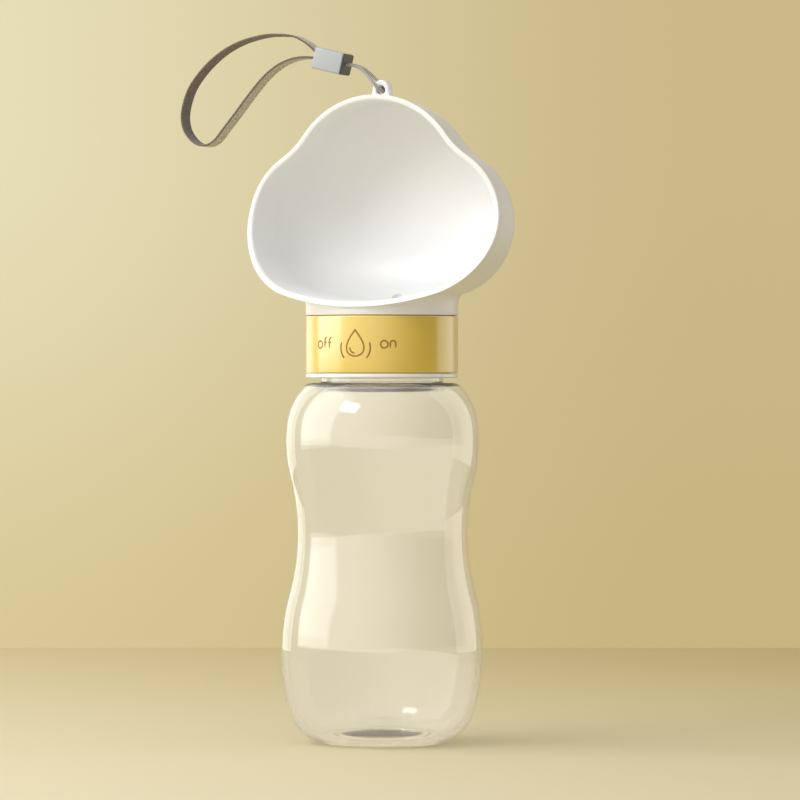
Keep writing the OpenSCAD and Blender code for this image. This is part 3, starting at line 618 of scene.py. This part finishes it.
def back_at(w):
    """Depth at which the straight wall ends: 7 - w tan 1 degree."""
    return BACK_Y - w * np.tan(np.radians(BACK_LEAN))


def bowl_points(p, shrink, y):
    """Outline points p shrunk towards the middle and set at depth y."""
    return np.stack([p[:, 0] * shrink, y, BOWL_Z + MIDDLE + (p[:, 1] - MIDDLE) * shrink], -1)


def wall_row(inset, behind):
    """Ring of the wall, inset into the outline, at a distance behind the rim."""
    p = cloud - inset * cloud_out
    front, back = rim_at(p[:, 1]), back_at(p[:, 1])
    return bowl_points(p, 1 - (1 - DRAFT) * behind / (back - front), front + behind)


def wall_share_row(inset, first, share):
    """Ring at a share of the way from the distance first behind the rim to the wall's end."""
    p = cloud - inset * cloud_out
    depth = back_at(p[:, 1]) - rim_at(p[:, 1])
    return wall_row(inset, first + (depth - first) * share)


def dome_row(inset, degrees):
    """Ring of the dome: shrinks by cos^0.87, goes back by sin^0.87, turns from cloud to oval."""
    a, power = np.radians(degrees), 2 / SQUARENESS
    shrink, back = DRAFT * np.cos(a) ** power, (DOME_Y - inset) * np.sin(a) ** power
    p, axes = cloud - inset * cloud_out, OVAL - inset
    b = np.arctan2((p[:, 1] - MIDDLE) / axes[1], p[:, 0] / axes[0])
    oval = np.stack([axes[0] * np.cos(b), MIDDLE + axes[1] * np.sin(b)], -1)
    q = p * np.cos(a) + oval * (1 - np.cos(a))
    return bowl_points(q, shrink, back_at(MIDDLE + (q[:, 1] - MIDDLE) * shrink) + back)


# %% [markdown]
# The rim is a narrow flat band. It stands a little proud of the wall outside, which draws the
# fine dark line along the right side. Its outer edge is softened a little and its inner edge is
# well rounded, so that the band melts into the inside.

# %% Bowl mesh
dome_steps = np.array([1, 3, 6, 10, 15, 20, 26, 32, 38, 44, 50, 56, 62, 68, 73, 78, 82, 85.5, 88])
wall_steps = np.linspace(0, 1, 12)
PROUD, BAND, SOFT, SOFT_IN = 0.15, 0.95, 0.3, 0.9
band_end = BOWL_WALL - SOFT_IN
# Inset into the outline and distance behind the rim of each ring of the rim
front_edge = np.vstack(
    [
        [[-PROUD, 2.2], [-PROUD, 1.2], [-PROUD, 0.2], [-PROUD, SOFT - BAND]],
        arc(SOFT - PROUD, SOFT - BAND, SOFT, 180, 270, 6)[1:],
        [[0.6, -BAND], [band_end, -BAND]],
        arc(band_end, SOFT_IN - BAND, SOFT_IN, 270, 360, 9)[1:],
    ]
)
rows = [dome_row(0, a) for a in dome_steps[::-1]]
rows += [wall_share_row(0, 2.6, s) for s in wall_steps[::-1]]
rows += [wall_row(inset, behind) for inset, behind in front_edge]
rows += [wall_share_row(BOWL_WALL, 0.2, s) for s in wall_steps]
rows += [dome_row(BOWL_WALL, a) for a in dome_steps]
pole_y = back_at(MIDDLE) + DOME_Y
poles = [[0, pole_y, BOWL_Z + MIDDLE], [0, pole_y - BOWL_WALL, BOWL_Z + MIDDLE]]
bowl_grid = np.vstack([*rows, poles])
ring = np.arange(len(cloud))
bowl_faces = [
    grid_faces(len(rows), len(cloud)),
    fan(len(bowl_grid) - 2, ring, False),
    fan(len(bowl_grid) - 1, ring + (len(rows) - 1) * len(cloud), True),
]
bowl_piece = make_piece("bowl_scoop", bowl_grid, bowl_faces, "head", 35)
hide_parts("drinking_bowl")

# %% [markdown]
# Water comes up through a small hole in the floor of the bowl. It is cut with a Boolean modifier,
# which is the quickest way to open a curved wall without planning the grid around it.

# %% Hole for the outlet
PORT_Y, DUCT_R, DUCT_TOP, OUTLET_Y, OUTLET_R = 14, 3.4, 152.03, 14.8, 1.6
FACES_UP, ON_EDGE, LEAST_AWAY = 0.3, 1e-5, 1e-16


def read(items, name, width=1, kind=float):
    """One property of all points, corners or faces of a mesh, width numbers for each."""
    values = np.zeros((len(items), width), kind)
    items.foreach_get(name, values.ravel())
    return values


def drill(piece, y, r, low, high):
    """Cuts a round hole at depth y, from height low to height high, out of the piece.

    The skin round the hole keeps the directions that it had before the cut: at each point of the
    hole's edge it is the mean of those at the old points near by, weighted by 1 / distance^4.
    """
    old_points = read(piece.data.vertices, "co", 3, np.float32)
    old_normals = read(piece.data.vertex_normals, "vector", 3, np.float32)
    bpy.ops.mesh.primitive_cylinder_add(
        vertices=48,
        radius=r * MM,
        depth=(high - low) * MM,
        location=(0, y * MM, (low + high) / 2 * MM),
    )
    cutter = bpy.context.object
    boolean = piece.modifiers.new("hole", "BOOLEAN")
    boolean.operation, boolean.object, boolean.solver = "DIFFERENCE", cutter, "MANIFOLD"
    bpy.context.view_layer.update()
    cut = piece.evaluated_get(bpy.context.evaluated_depsgraph_get())
    result = bpy.data.meshes.new_from_object(cut)
    piece.modifiers.clear()
    piece.data = result
    result.set_sharp_from_angle(angle=np.radians(35))
    normals = read(result.corner_normals, "vector", 3)
    corner = read(result.loops, "vertex_index", kind=int)[:, 0]
    where = read(result.vertices, "co", 3)[corner]
    upwards = read(result.polygons, "normal", 3)[:, 2] > FACES_UP
    on_skin = np.repeat(upwards, read(result.polygons, "loop_total", kind=int)[:, 0])
    from_edge = np.abs(np.hypot(where[:, 0], where[:, 1] - y * MM) - r * MM)
    rim = np.flatnonzero((from_edge < ON_EDGE) & on_skin)
    away = np.linalg.norm(where[rim, None] - old_points, axis=2)
    normals[rim] = ((old_normals[:, 2] > FACES_UP) / (away**4 + LEAST_AWAY)) @ old_normals
    normals /= np.linalg.norm(normals, axis=1, keepdims=True)
    result.normals_split_custom_set(normals.tolist())
    bpy.data.objects.remove(cutter)


drill(bowl_piece, OUTLET_Y, OUTLET_R, DUCT_TOP - 1, DUCT_TOP + 6)

# %% [markdown]
# ## The bowl's neck and lug
# The round neck under the bowl has the collar's width. At the sides the bowl overhangs it, and
# there the moulding has a fillet. Behind the bowl the neck ends in a rounded shoulder. Its skin
# is worked out ray by ray: a ray shot upwards finds the bowl's underside, and no point of the
# neck goes higher than the middle of the bowl's wall above it.

# %% Neck
HEAD_IN, ROOF_Z, NECK_SIDE_TOP, NECK_ROUND, AROUND = 24.0, HEAD_Z + 2.2, HEAD_Z + 7, 5, 144
FLARE, FLARE_FROM, FLARE_FADE, NOWHERE = 3.4, 30, 28, 999
bowl_sides = [f for group in bowl_faces for f in group.tolist()]
bowl_tree = BVHTree.FromPolygons(bowl_grid.tolist(), bowl_sides)
neck_a = np.linspace(0, 2 * np.pi, AROUND, endpoint=False)


def underside(r):
    """Height of the bowl's underside above each point at radius r, large where there is none."""
    places = np.stack([r * np.cos(neck_a), r * np.sin(neck_a)], -1)
    hits = [bowl_tree.ray_cast((x, y, ROOF_Z - 1), (0, 0, 1))[0] for x, y in places]
    return np.array([NOWHERE if hit is None else hit.z for hit in hits])


def flat_ring(r, z):
    """Ring at radius r, all at height z."""
    return np.full(AROUND, float(r)), np.full(AROUND, float(z))


def lid_ring(r, z):
    """Ring at radius r and height z, pressed down to the middle of the bowl's wall."""
    return np.full(AROUND, float(r)), np.minimum(z, underside(np.full(AROUND, r)) + BOWL_WALL / 2)


# How far an angle is from the bowl's left and right, and the fillet's size that goes with it
from_side = np.abs(np.degrees(np.arctan2(np.sin(neck_a), np.abs(np.cos(neck_a)))))
fading = np.clip((from_side - FLARE_FROM) / FLARE_FADE, 0, 1)
flare = FLARE * (0.5 + 0.5 * np.cos(np.pi * fading))
side_top = np.minimum(underside(np.full(AROUND, COLLAR_R - 0.05)), NECK_SIDE_TOP)
flare_top = np.minimum(underside(COLLAR_R + flare), side_top + 2 * flare)
fillet_low = np.maximum(side_top - np.maximum(flare, 0.5), HEAD_Z + 0.5)
skin = [flat_ring(HEAD_IN, HEAD_Z), flat_ring(COLLAR_R - 0.3, HEAD_Z)]
skin += [flat_ring(COLLAR_R - 0.1, HEAD_Z + 0.08), flat_ring(COLLAR_R, HEAD_Z + 0.3)]
fillet_rise = flare_top + 0.3 - fillet_low
for k in np.radians(np.linspace(0, 90, 9)):
    skin.append((COLLAR_R + flare * (1 - np.cos(k)), fillet_low + fillet_rise * np.sin(k)))
shoulder = arc(COLLAR_R - NECK_ROUND, NECK_SIDE_TOP, NECK_ROUND, 6, 90, 8)
skin += [lid_ring(r, z) for r, z in shoulder]
skin += [lid_ring(r, NECK_SIDE_TOP + NECK_ROUND) for r in (18, 14, 10, 6, 2)]
skin += [flat_ring(2, ROOF_Z), flat_ring(HEAD_IN, ROOF_Z)]
neck_grid = [np.stack([r * np.cos(neck_a), r * np.sin(neck_a), z], -1) for r, z in skin]
neck_faces = [grid_faces(len(skin), AROUND, around_rows=True)]
neck_piece = make_piece("bowl_neck", np.vstack(neck_grid), neck_faces, "head", 35)
drill(neck_piece, PORT_Y, DUCT_R + 0.05, ROOF_Z - 1, DUCT_TOP + 0.1)
drill(neck_piece, OUTLET_Y, OUTLET_R, DUCT_TOP - 0.5, DUCT_TOP + 6)

# %% [markdown]
# The lug is a small plate with a hole for the cord: a round top on two flanks that run down into
# the bowl. Seen from the hole's middle, the way to the edge in any direction is the longer of
# two: the one to the round top and the one to the nearest side of the foot. With it, the plate is
# a thick ring round the hole, whose section is a rounded box.

# %% Lug
LUG_R, LUG_T, LUG_HOLE, LUG_FOOT, LUG_DROP, LUG_ROUND = 3, 3.9, 1.6, 3.6, 4, 0.5
LUG_Z, LUG_RISE, LUG_SHOULDER, LEVEL = 2.5, 0.5, 0.9, 0.01
HOLE_Z = BOWL_Z + top_c[1] + TOP_R + LUG_Z - LUG_RISE
lug_a = np.radians(np.arange(0, 360, 5))
cos_a, sin_a = np.cos(lug_a), np.sin(lug_a)
to_round = LUG_RISE * sin_a + np.sqrt(LUG_R**2 - (LUG_RISE * cos_a) ** 2)
flank = np.array([LUG_DROP + LUG_SHOULDER, LUG_FOOT - 0.95 * LUG_R])
flank /= np.linalg.norm(flank)
facing_flank = np.maximum(flank[0] * np.abs(cos_a) + flank[1] * sin_a, LEVEL)
to_flank = flank @ [LUG_FOOT, LUG_RISE - LUG_DROP] / facing_flank
to_sole = (LUG_DROP - LUG_RISE) / np.maximum(-sin_a, LEVEL)
to_top = (LUG_RISE + LUG_SHOULDER) / np.maximum(sin_a, LEVEL)
to_edge = np.maximum(to_round, np.min([to_flank, to_sole, to_top], axis=0))
turn = np.radians(np.linspace(0, 90, 6))
pull, side = LUG_ROUND * (1 - np.sin(turn)), LUG_T / 2 - LUG_ROUND * (1 - np.cos(turn))
front = list(zip(pull, -side))
back = list(zip(pull[::-1], side[::-1]))
lug_rows = [(to_edge - p, d) for p, d in front + back]
lug_rows += [(LUG_HOLE + p + 0 * cos_a, -d) for p, d in front + back]
lug_grid = [np.stack([r * cos_a, LUG_Y + d + 0 * r, HOLE_Z + r * sin_a], -1) for r, d in lug_rows]
lug_faces = [grid_faces(len(lug_grid), len(lug_a), around_rows=True)]
make_piece("bowl_lug", np.vstack(lug_grid), lug_faces, "head", 40)

# %% [markdown]
# ## Finishes
# Each finish is a small node tree. Written as code, a tree of Math nodes is hard to read, so two
# small classes let a pattern be written as plain arithmetic: every +, *, or - between shader
# values adds the Math node that does it.

# %% Shader arithmetic


class Value:
    """A number that comes out of a shader socket, with the usual operators."""

    def __init__(self, finish, socket):
        self.finish, self.socket = finish, socket

    def maths(self, operation, *others, first=None):
        terms = [self, *others] if first is None else [first, self]
        return self.finish.node("ShaderNodeMath", {"operation": operation}, *terms)

    def __add__(self, other):
        return self.maths("ADD", other)

    def __mul__(self, other):
        return self.maths("MULTIPLY", other)

    __radd__, __rmul__ = __add__, __mul__

    def __sub__(self, other):
        return self.maths("SUBTRACT", other)

    def __rsub__(self, other):
        return self.maths("SUBTRACT", first=other)

    def __pow__(self, other):
        return self.maths("POWER", other)

    def sine(self):
        return self.maths("SINE")

    def larger(self, other):
        return self.maths("MAXIMUM", other)

    def between(self, low, high):
        """0 below low, 1 above high and smooth in between."""
        inputs = {"Value": self, "From Min": low, "From Max": high}
        smooth = {"interpolation_type": "SMOOTHSTEP"}
        return self.finish.node("ShaderNodeMapRange", smooth, inputs=inputs)


# %% Building a node tree


class Nodes:
    """A node tree that is built node by node."""

    def __init__(self, tree, output):
        self.tree = tree
        tree.nodes.clear()
        self.out = tree.nodes.new(output)

    def put(self, socket, value):
        """Links a Value to a socket, or sets the socket to a plain number or colour."""
        if isinstance(value, Value):
            self.tree.links.new(value.socket, socket)
        else:
            socket.default_value = value

    def node(self, kind, settings=None, *values, inputs=None, output=0):
        """Any node: its settings first, then its sockets in order or by name."""
        made = self.tree.nodes.new(kind)
        for key, setting in (settings or {}).items():
            setattr(made, key, setting)
        for socket, value in zip(made.inputs, values):
            self.put(socket, value)
        for key, value in (inputs or {}).items():
            self.put(made.inputs[key], value)
        return Value(self, made.outputs[output])

    def mix(self, share, a, b):
        """Colour a where share is 0 and b where it is 1."""
        inputs = {0: share, 6: a, 7: b}
        return self.node("ShaderNodeMix", {"data_type": "RGBA"}, inputs=inputs, output=2)

    def mix_shader(self, share, a, b):
        """Shader a where share is 0 and b where it is 1."""
        return self.node("ShaderNodeMixShader", None, share, a, b)

    def show(self, shader):
        """Sends a shader to the output."""
        self.tree.links.new(shader.socket, self.out.inputs["Surface"])

    def rays(self, *kinds):
        """1 for a ray of one of these kinds, such as "Is Camera Ray", and 0 for all others."""
        sockets = self.node("ShaderNodeLightPath").socket.node.outputs
        answer = Value(self, sockets[kinds[0]])
        for kind in kinds[1:]:
            answer = answer.larger(Value(self, sockets[kind]))
        return answer

    def noise(self, scale, detail=2):
        """Cloudy value from 0 to 1, on Object coordinates in metres."""
        where = self.node("ShaderNodeTexCoord", output="Object")
        inputs = {"Vector": where, "Scale": scale, "Detail": detail}
        return self.node("ShaderNodeTexNoise", None, inputs=inputs)

    def split(self, kind):
        """The first two numbers of a texture coordinate, such as "Object" in metres or "UV"."""
        where = self.node("ShaderNodeTexCoord", output=kind)
        first = self.node("ShaderNodeSeparateXYZ", None, where)
        return first, Value(self, first.socket.node.outputs[1])

    def bump(self, height, distance):
        """Surface direction changed as if height, from 0 to 1, were distance metres high."""
        inputs = {"Height": height, "Distance": distance, "Strength": 1}
        return self.node("ShaderNodeBump", None, inputs=inputs)


class Finish(Nodes):
    """The nodes of a new material."""

    def __init__(self, name):
        self.material = bpy.data.materials.new(name)
        self.material.use_nodes = True
        super().__init__(self.material.node_tree, "ShaderNodeOutputMaterial")

    def shade(self, **sockets):
        """The Principled shader, its sockets named with underscores for spaces."""
        shader = self.tree.nodes.new("ShaderNodeBsdfPrincipled")
        for key, value in sockets.items():
            self.put(shader.inputs[key.replace("_", " ")], value)
        self.show(Value(self, shader.outputs[0]))
        return self.material


def colour(r, g, b):
    """Linear colour of the screen colour r, g, b from 0 to 255: ((c + 0.055) / 1.055)^2.4."""
    c = np.array([r, g, b]) / 255
    linear = np.where(c <= 0.04045, c / 12.92, ((c + 0.055) / 1.055) ** 2.4)
    return (*linear.tolist(), 1)


# %% [markdown]
# ### Moulded plastics
# The bowl and cap are white plastic with a soft gloss, the collar a deeper gloss in yellow.
# Moulded plastic is never one flat colour: it has faint flow clouds a few centimetres wide and a
# fine skin texture that breaks up its reflections, and both are noises that you notice only when
# they're missing.

# %% Plastics


def moulded(name, low, high, gloss, coat, skin, sheen=0.0, coat_ior=1.5):
    """Plastic between two near colours, with a roughness near gloss and a skin texture."""
    finish = Finish(name)
    clouds = finish.noise(38, 3)
    grain = finish.noise(2600, 1)
    return finish.shade(
        Base_Color=finish.mix(clouds, low, high),
        Roughness=gloss + 0.06 * finish.noise(160) + 0.03 * grain,
        IOR=1.49,
        Coat_Weight=coat,
        Coat_Roughness=0.2,
        Coat_IOR=coat_ior,
        Sheen_Weight=sheen,
        Sheen_Roughness=0.4,
        Normal=finish.bump(grain, skin),
    )


COLLAR_SHEEN, COLLAR_COAT_IOR = 0.5, 1.9
bowl_white = moulded("bowl_white", colour(233, 233, 232), colour(237, 237, 236), 0.34, 0.1, 6e-6)
cap_white = moulded("cap_white", colour(238, 235, 229), colour(242, 239, 233), 0.24, 0.3, 4e-6)
yellow, pale_yellow = colour(213, 178, 28), colour(218, 184, 36)
collar_yellow = moulded(
    "collar_yellow", yellow, pale_yellow, 0.36, 0.9, 3e-6, COLLAR_SHEEN, COLLAR_COAT_IOR
)
mark_gold = moulded("mark_gold", colour(150, 104, 24), colour(158, 112, 30), 0.4, 0, 3e-6)
bead_grey = moulded("bead_grey", colour(172, 176, 180), colour(178, 182, 185), 0.45, 0, 1e-5)
plug_dark = moulded("plug_dark", colour(66, 62, 58), colour(74, 70, 66), 0.5, 0, 1e-5)

# %% [markdown]
# ### Clear plastic
# The bottle bends light like real plastic, with a refractive index of 1.5. It is a little milky:
# a small share of the light that meets the wall is scattered, and the rest of its milky veil is
# painted light, since wall and floor glow paler for rays that come through it. A trace of roughness
# noise and a very shallow bump stand for the waviness that blow moulding leaves in such a wall.

# %% Clear plastic
clear = Finish("clear_plastic")
waves = clear.noise(22, 1)
clear_plastic = clear.shade(
    Base_Color=clear.mix(clear.noise(15), (0.998, 0.998, 0.988, 1), (1, 1, 0.995, 1)),
    Roughness=0.004 + 0.012 * clear.noise(90),
    IOR=1.5,
    Transmission_Weight=0.95,
    Normal=clear.bump(waves, 0.00004),
)

# %% [markdown]
# ### Seals and steel
# The inner rings are silicone and black rubber, matt and a little dusty. The screw is bright
# steel with fine turning marks: a sine of the distance from its axis.

# %% Seals and steel


def rubber(name, low, high, rough):
    """Matt elastomer: two near colours and a fine grain."""
    finish = Finish(name)
    grain = finish.noise(1800)
    return finish.shade(
        Base_Color=finish.mix(finish.noise(120, 3), low, high),
        Roughness=rough + 0.12 * grain,
        Normal=finish.bump(grain, 1e-5),
    )


silicone = rubber("silicone", colour(202, 206, 205), colour(214, 217, 215), 0.42)
seal_black = rubber("seal_black", colour(34, 34, 34), colour(46, 45, 44), 0.6)
turned_steel = Finish("turned_steel")
RADIANS_PER_METRE = 9000
x, y = turned_steel.split("Object")
rings = ((x * x + y * y) ** 0.5 * RADIANS_PER_METRE).sine() * 0.5 + 0.5
dark_steel, light_steel = colour(178, 180, 182), colour(198, 199, 200)
steel = turned_steel.shade(
    Base_Color=turned_steel.mix(turned_steel.noise(300), dark_steel, light_steel),
    Metallic=1,
    Roughness=0.22 + 0.14 * rings,
    Normal=turned_steel.bump(rings, 6e-6),
)

# %% [markdown]
# ### Weave and braid
# The webbing is a tight narrow weave. Across it run 16 warp threads, and along it a weft thread
# passes every 0.7 mm, over one warp thread and under the next. The product of two sine waves
# gives exactly that chequer of raised threads. The cord is braided, so its threads climb round it
# both ways.

# %% Weave and braid
WARP, WEFT, ROUND_CORD, ALONG_CORD = 0.46, 0.7, 6.15, 5.2
weave = Finish("webbing_weave")
# The UVs hold the distance round the section and the distance along the route, in mm
across, forward = weave.split("UV")
warp, weft = (across * (np.pi / WARP)).sine(), (forward * (np.pi / WEFT)).sine()
threads = warp * weft * 0.5 + 0.5
fuzz = weave.noise(1500, 3)
tone = threads * 0.45 + fuzz * 0.55
# One face of the webbing, the inside of the loop, is painted much darker: painted shade, because
# that face turns away from the key light.
painted_shade_face = across.between(STRAP_W - 0.2, STRAP_W + 0.2)
low_tone = weave.mix(painted_shade_face, colour(150, 142, 118), colour(80, 70, 60))
high_tone = weave.mix(painted_shade_face, colour(206, 196, 168), colour(128, 116, 101))
webbing = weave.shade(
    Base_Color=weave.mix(tone, low_tone, high_tone),
    Roughness=0.78 + 0.12 * fuzz,
    Sheen_Weight=0.25,
    Sheen_Roughness=0.5,
    Normal=weave.bump(threads * 0.8 + fuzz * 0.2, 0.00012),
)
braid = Finish("cord_braid")
across, forward = braid.split("UV")
one_way = (across * ROUND_CORD + forward * ALONG_CORD).sine()
other_way = (across * ROUND_CORD - forward * ALONG_CORD).sine()
strands = (one_way * other_way) * 0.5 + 0.5
tone = strands * 0.7 + braid.noise(2500) * 0.3
cord_grey = braid.shade(
    Base_Color=braid.mix(tone, colour(104, 100, 96), colour(196, 192, 186)),
    Roughness=0.6 + 0.2 * strands,
    Sheen_Weight=0.2,
    Normal=braid.bump(strands, 0.00009),
)

# %% [markdown]
# Every piece gets its finish by name, the CAD parts that stay in the picture as well as the new
# ones.

# %% Dress the pieces
finishes = (
    (clear_plastic, "bottle_clear bottle_body"),
    (collar_yellow, "collar_grip collar_ring"),
    (mark_gold, " ".join(mark.name for mark in marks)),
    (bowl_white, "bowl_scoop bowl_neck bowl_lug drinking_bowl"),
    (bead_grey, "bead_shell bead_sleeve"),
    (plug_dark, "bead_end bead_core"),
    (cord_grey, "cord_braid lanyard_cord"),
    (webbing, "strap_webbing wrist_strap"),
    (cap_white, "valve_base valve_seat valve_disc outlet_duct"),
    (silicone, "neck_gasket inlet_seal outlet_seal seat_gasket screw_washer"),
    (seal_black, "skirt_o_ring seat_o_ring duct_o_ring post_o_ring"),
    (steel, "centre_screw"),
)
for material, names in finishes:
    for name in names.split():
        mesh = bpy.data.objects[name].data
        mesh.materials.clear()
        mesh.materials.append(material)
print("finishes:", len(finishes))

# %% [markdown]
# ## The stage
# Behind the bottle is a wall in warm beige that gets darker to the right, and it stands on a
# floor of the same family. The wall is painted with light for every ray that looks at it,
# straight or through the bottle, and is plain beige for the light it gives back. From behind
# every ray passes it, so that the bottle can be looked at from there too. The floor is mostly
# matt paint, because it has to show the bottle's shadow, with a share of its own light.

# %% Wall and floor
WALL_BEHIND, WALL_HALF, WALL_TOP = 585, 1500, 2000
FLOOR_HALF, FLOOR_FRONT, FLOOR_BACK = 3000, 1200, -3000
PALE = (1, 1, 0.95, 1)
PALER_THROUGH, GIVEN_BACK, FLOOR_LIGHT = 0.2, 0.45, 0.35


def plane(name, corners):
    """One four-sided face of the stage."""
    mesh = bpy.data.meshes.new(name)
    mesh.from_pydata([c * MM for c in corners], [], [(0, 1, 2, 3)])
    made = bpy.data.objects.new(name, mesh)
    bpy.context.scene.collection.objects.link(made)
    return made


wall_corners = [(-WALL_HALF, 0), (WALL_HALF, 0), (WALL_HALF, WALL_TOP), (-WALL_HALF, WALL_TOP)]
wall = plane("wall", [seen_from_camera(r, -WALL_BEHIND, u) for r, u in wall_corners])
floor_corners = [(-FLOOR_HALF, FLOOR_FRONT), (FLOOR_HALF, FLOOR_FRONT)]
floor_corners += [(FLOOR_HALF, FLOOR_BACK), (-FLOOR_HALF, FLOOR_BACK)]
floor = plane("floor", [seen_from_camera(r, t, 0) for r, t in floor_corners])


# %% Paint on the wall


def picture_axes(finish):
    """How far a point lies to the right, towards the camera and up, in metres."""
    where = finish.node("ShaderNodeTexCoord", output="Object")
    dot = {"operation": "DOT_PRODUCT"}
    return [
        finish.node("ShaderNodeVectorMath", dot, where, tuple(axis), output="Value")
        for axis in (TO_RIGHT, TO_EYE, UP)
    ]


paint = Finish("wall_paint")
right, _, up = picture_axes(paint)
sideways = right.between(-0.22, 0.16)
upwards = up.between(-0.02, 0.24)
left_side = paint.mix(upwards, colour(217, 201, 152), colour(232, 222, 184))
right_side = paint.mix(upwards, colour(200, 180, 128), colour(202, 185, 137))
seen = paint.mix(sideways, left_side, right_side)
# Painted light: seen through the bottle the wall glows paler, which stands in for the bottle's
# milky veil.
through = paint.rays("Is Transmission Ray") * PALER_THROUGH
glow = paint.node("ShaderNodeEmission", None, paint.mix(through, seen, PALE), 1.0)
matt = paint.node("ShaderNodeBsdfDiffuse", None, paint.mix(GIVEN_BACK, (0, 0, 0, 1), seen))
looks = paint.rays("Is Camera Ray", "Is Glossy Ray", "Is Transmission Ray")
behind = paint.node("ShaderNodeNewGeometry", output="Backfacing")
see_through = paint.node("ShaderNodeBsdfTransparent", None, (1, 1, 1, 1))
paint.show(paint.mix_shader(behind, paint.mix_shader(looks, matt, glow), see_through))
wall.data.materials.append(paint.material)

# %% Paint on the floor
ground = Finish("floor_paint")
right, toward, _ = picture_axes(ground)
# Painted shade: the floor's colour is darker towards the back and to the right, where the light
# falls off.
near = toward.between(-0.55, 0.3)
side = right.between(-0.25, 0.3)
far_colour = ground.mix(side, colour(216, 200, 156), colour(192, 176, 123))
near_colour = ground.mix(side, colour(229, 217, 182), colour(211, 197, 160))
floor_colour = ground.mix(near, far_colour, near_colour)
grain = 0.7 + 0.1 * ground.noise(30)
paint_on_floor = ground.node(
    "ShaderNodeBsdfPrincipled", None, inputs={"Base Color": floor_colour, "Roughness": grain}
)
# Painted light: seen through the bottle the floor glows paler as well, for the same milky veil.
through = ground.rays("Is Transmission Ray") * PALER_THROUGH
pale = ground.node("ShaderNodeEmission", None, ground.mix(through, floor_colour, PALE), 1.0)
lit = ground.rays("Is Glossy Ray", "Is Transmission Ray").larger(FLOOR_LIGHT)
ground.show(ground.mix_shader(lit, paint_on_floor, pale))
floor.data.materials.append(ground.material)

# %% [markdown]
# ## Light
# The key light is a large soft box at the left, higher than the bottle. It shades the bowl from
# left to right. A small one nearer to the camera makes the window reflections, and three cards
# that only gloss shows draw the soft bright bands. The sky is paler towards the front left, and
# it is a little brighter for rays that come off a gloss or through the clear wall, which stands
# for the white cards that a photographer puts round a bottle.

# %% Lamps


def soft_box(name, right, toward, up, width, height, power):
    """Rectangular lamp at a place seen from the camera, turned towards the bottle's middle."""
    light = bpy.data.lights.new(name, "AREA")
    light.shape, light.energy = "RECTANGLE", power
    light.size, light.size_y = width, height
    lamp = bpy.data.objects.new(name, light)
    lamp.location = seen_from_camera(right, toward, up) * MM
    aim = Vector((0, 0, 0.13)) - lamp.location
    lamp.rotation_euler = aim.to_track_quat("-Z", "Y").to_euler()
    lamp.visible_camera = False
    bpy.context.scene.collection.objects.link(lamp)
    return lamp


left_box = soft_box("left_box", -1250, -100, 650, 1.8, 1.8, 16.5)
left_box.visible_transmission = False
soft_box("window_box", -700, 640, 900, 0.42, 0.34, 3.1)
# One card a little higher than the large box, and one behind each edge of the bottle
for name, right, toward, up, width, height, power in (
    ("left_card", -1250, -100, 900, 1.8, 1.8, 14),
    ("left_edge_card", -386, -460, 200, 0.34, 1.2, 1.6),
    ("right_edge_card", 560, -240, 200, 0.5, 1.2, 2.2),
):
    card = soft_box(name, right, toward, up, width, height, power)
    card.visible_diffuse = card.visible_transmission = False

# %% Sky
world = bpy.data.worlds.new("sky")
bpy.context.scene.world = world
world.use_nodes = True
sky = Nodes(world.node_tree, "ShaderNodeOutputWorld")
way = sky.node("ShaderNodeTexCoord", output="Generated")


def towards(right, toward, up):
    """1 for a ray of the sky that goes this way, 0 for the opposite way, smooth in between."""
    to = tuple(seen_from_camera(right, toward, up))
    dot = {"operation": "DOT_PRODUCT"}
    return sky.node("ShaderNodeVectorMath", dot, way, to, output="Value").between(-1, 1)


fill_strength = towards(-0.7, 0.5, 0.5) * 0.68 + 0.26
cards_strength = towards(-0.9, 0.25, 0.35) * 2 + 0.14
fill = sky.node("ShaderNodeBackground", None, (0.97, 0.98, 1, 1), fill_strength)
cards = sky.node("ShaderNodeBackground", None, (1, 0.975, 0.9, 1), cards_strength)
seen_rays = sky.rays("Is Camera Ray", "Is Glossy Ray", "Is Transmission Ray")
sky.show(sky.mix_shader(seen_rays, fill, cards))
bpy.context.scene.view_settings.view_transform = "Standard"
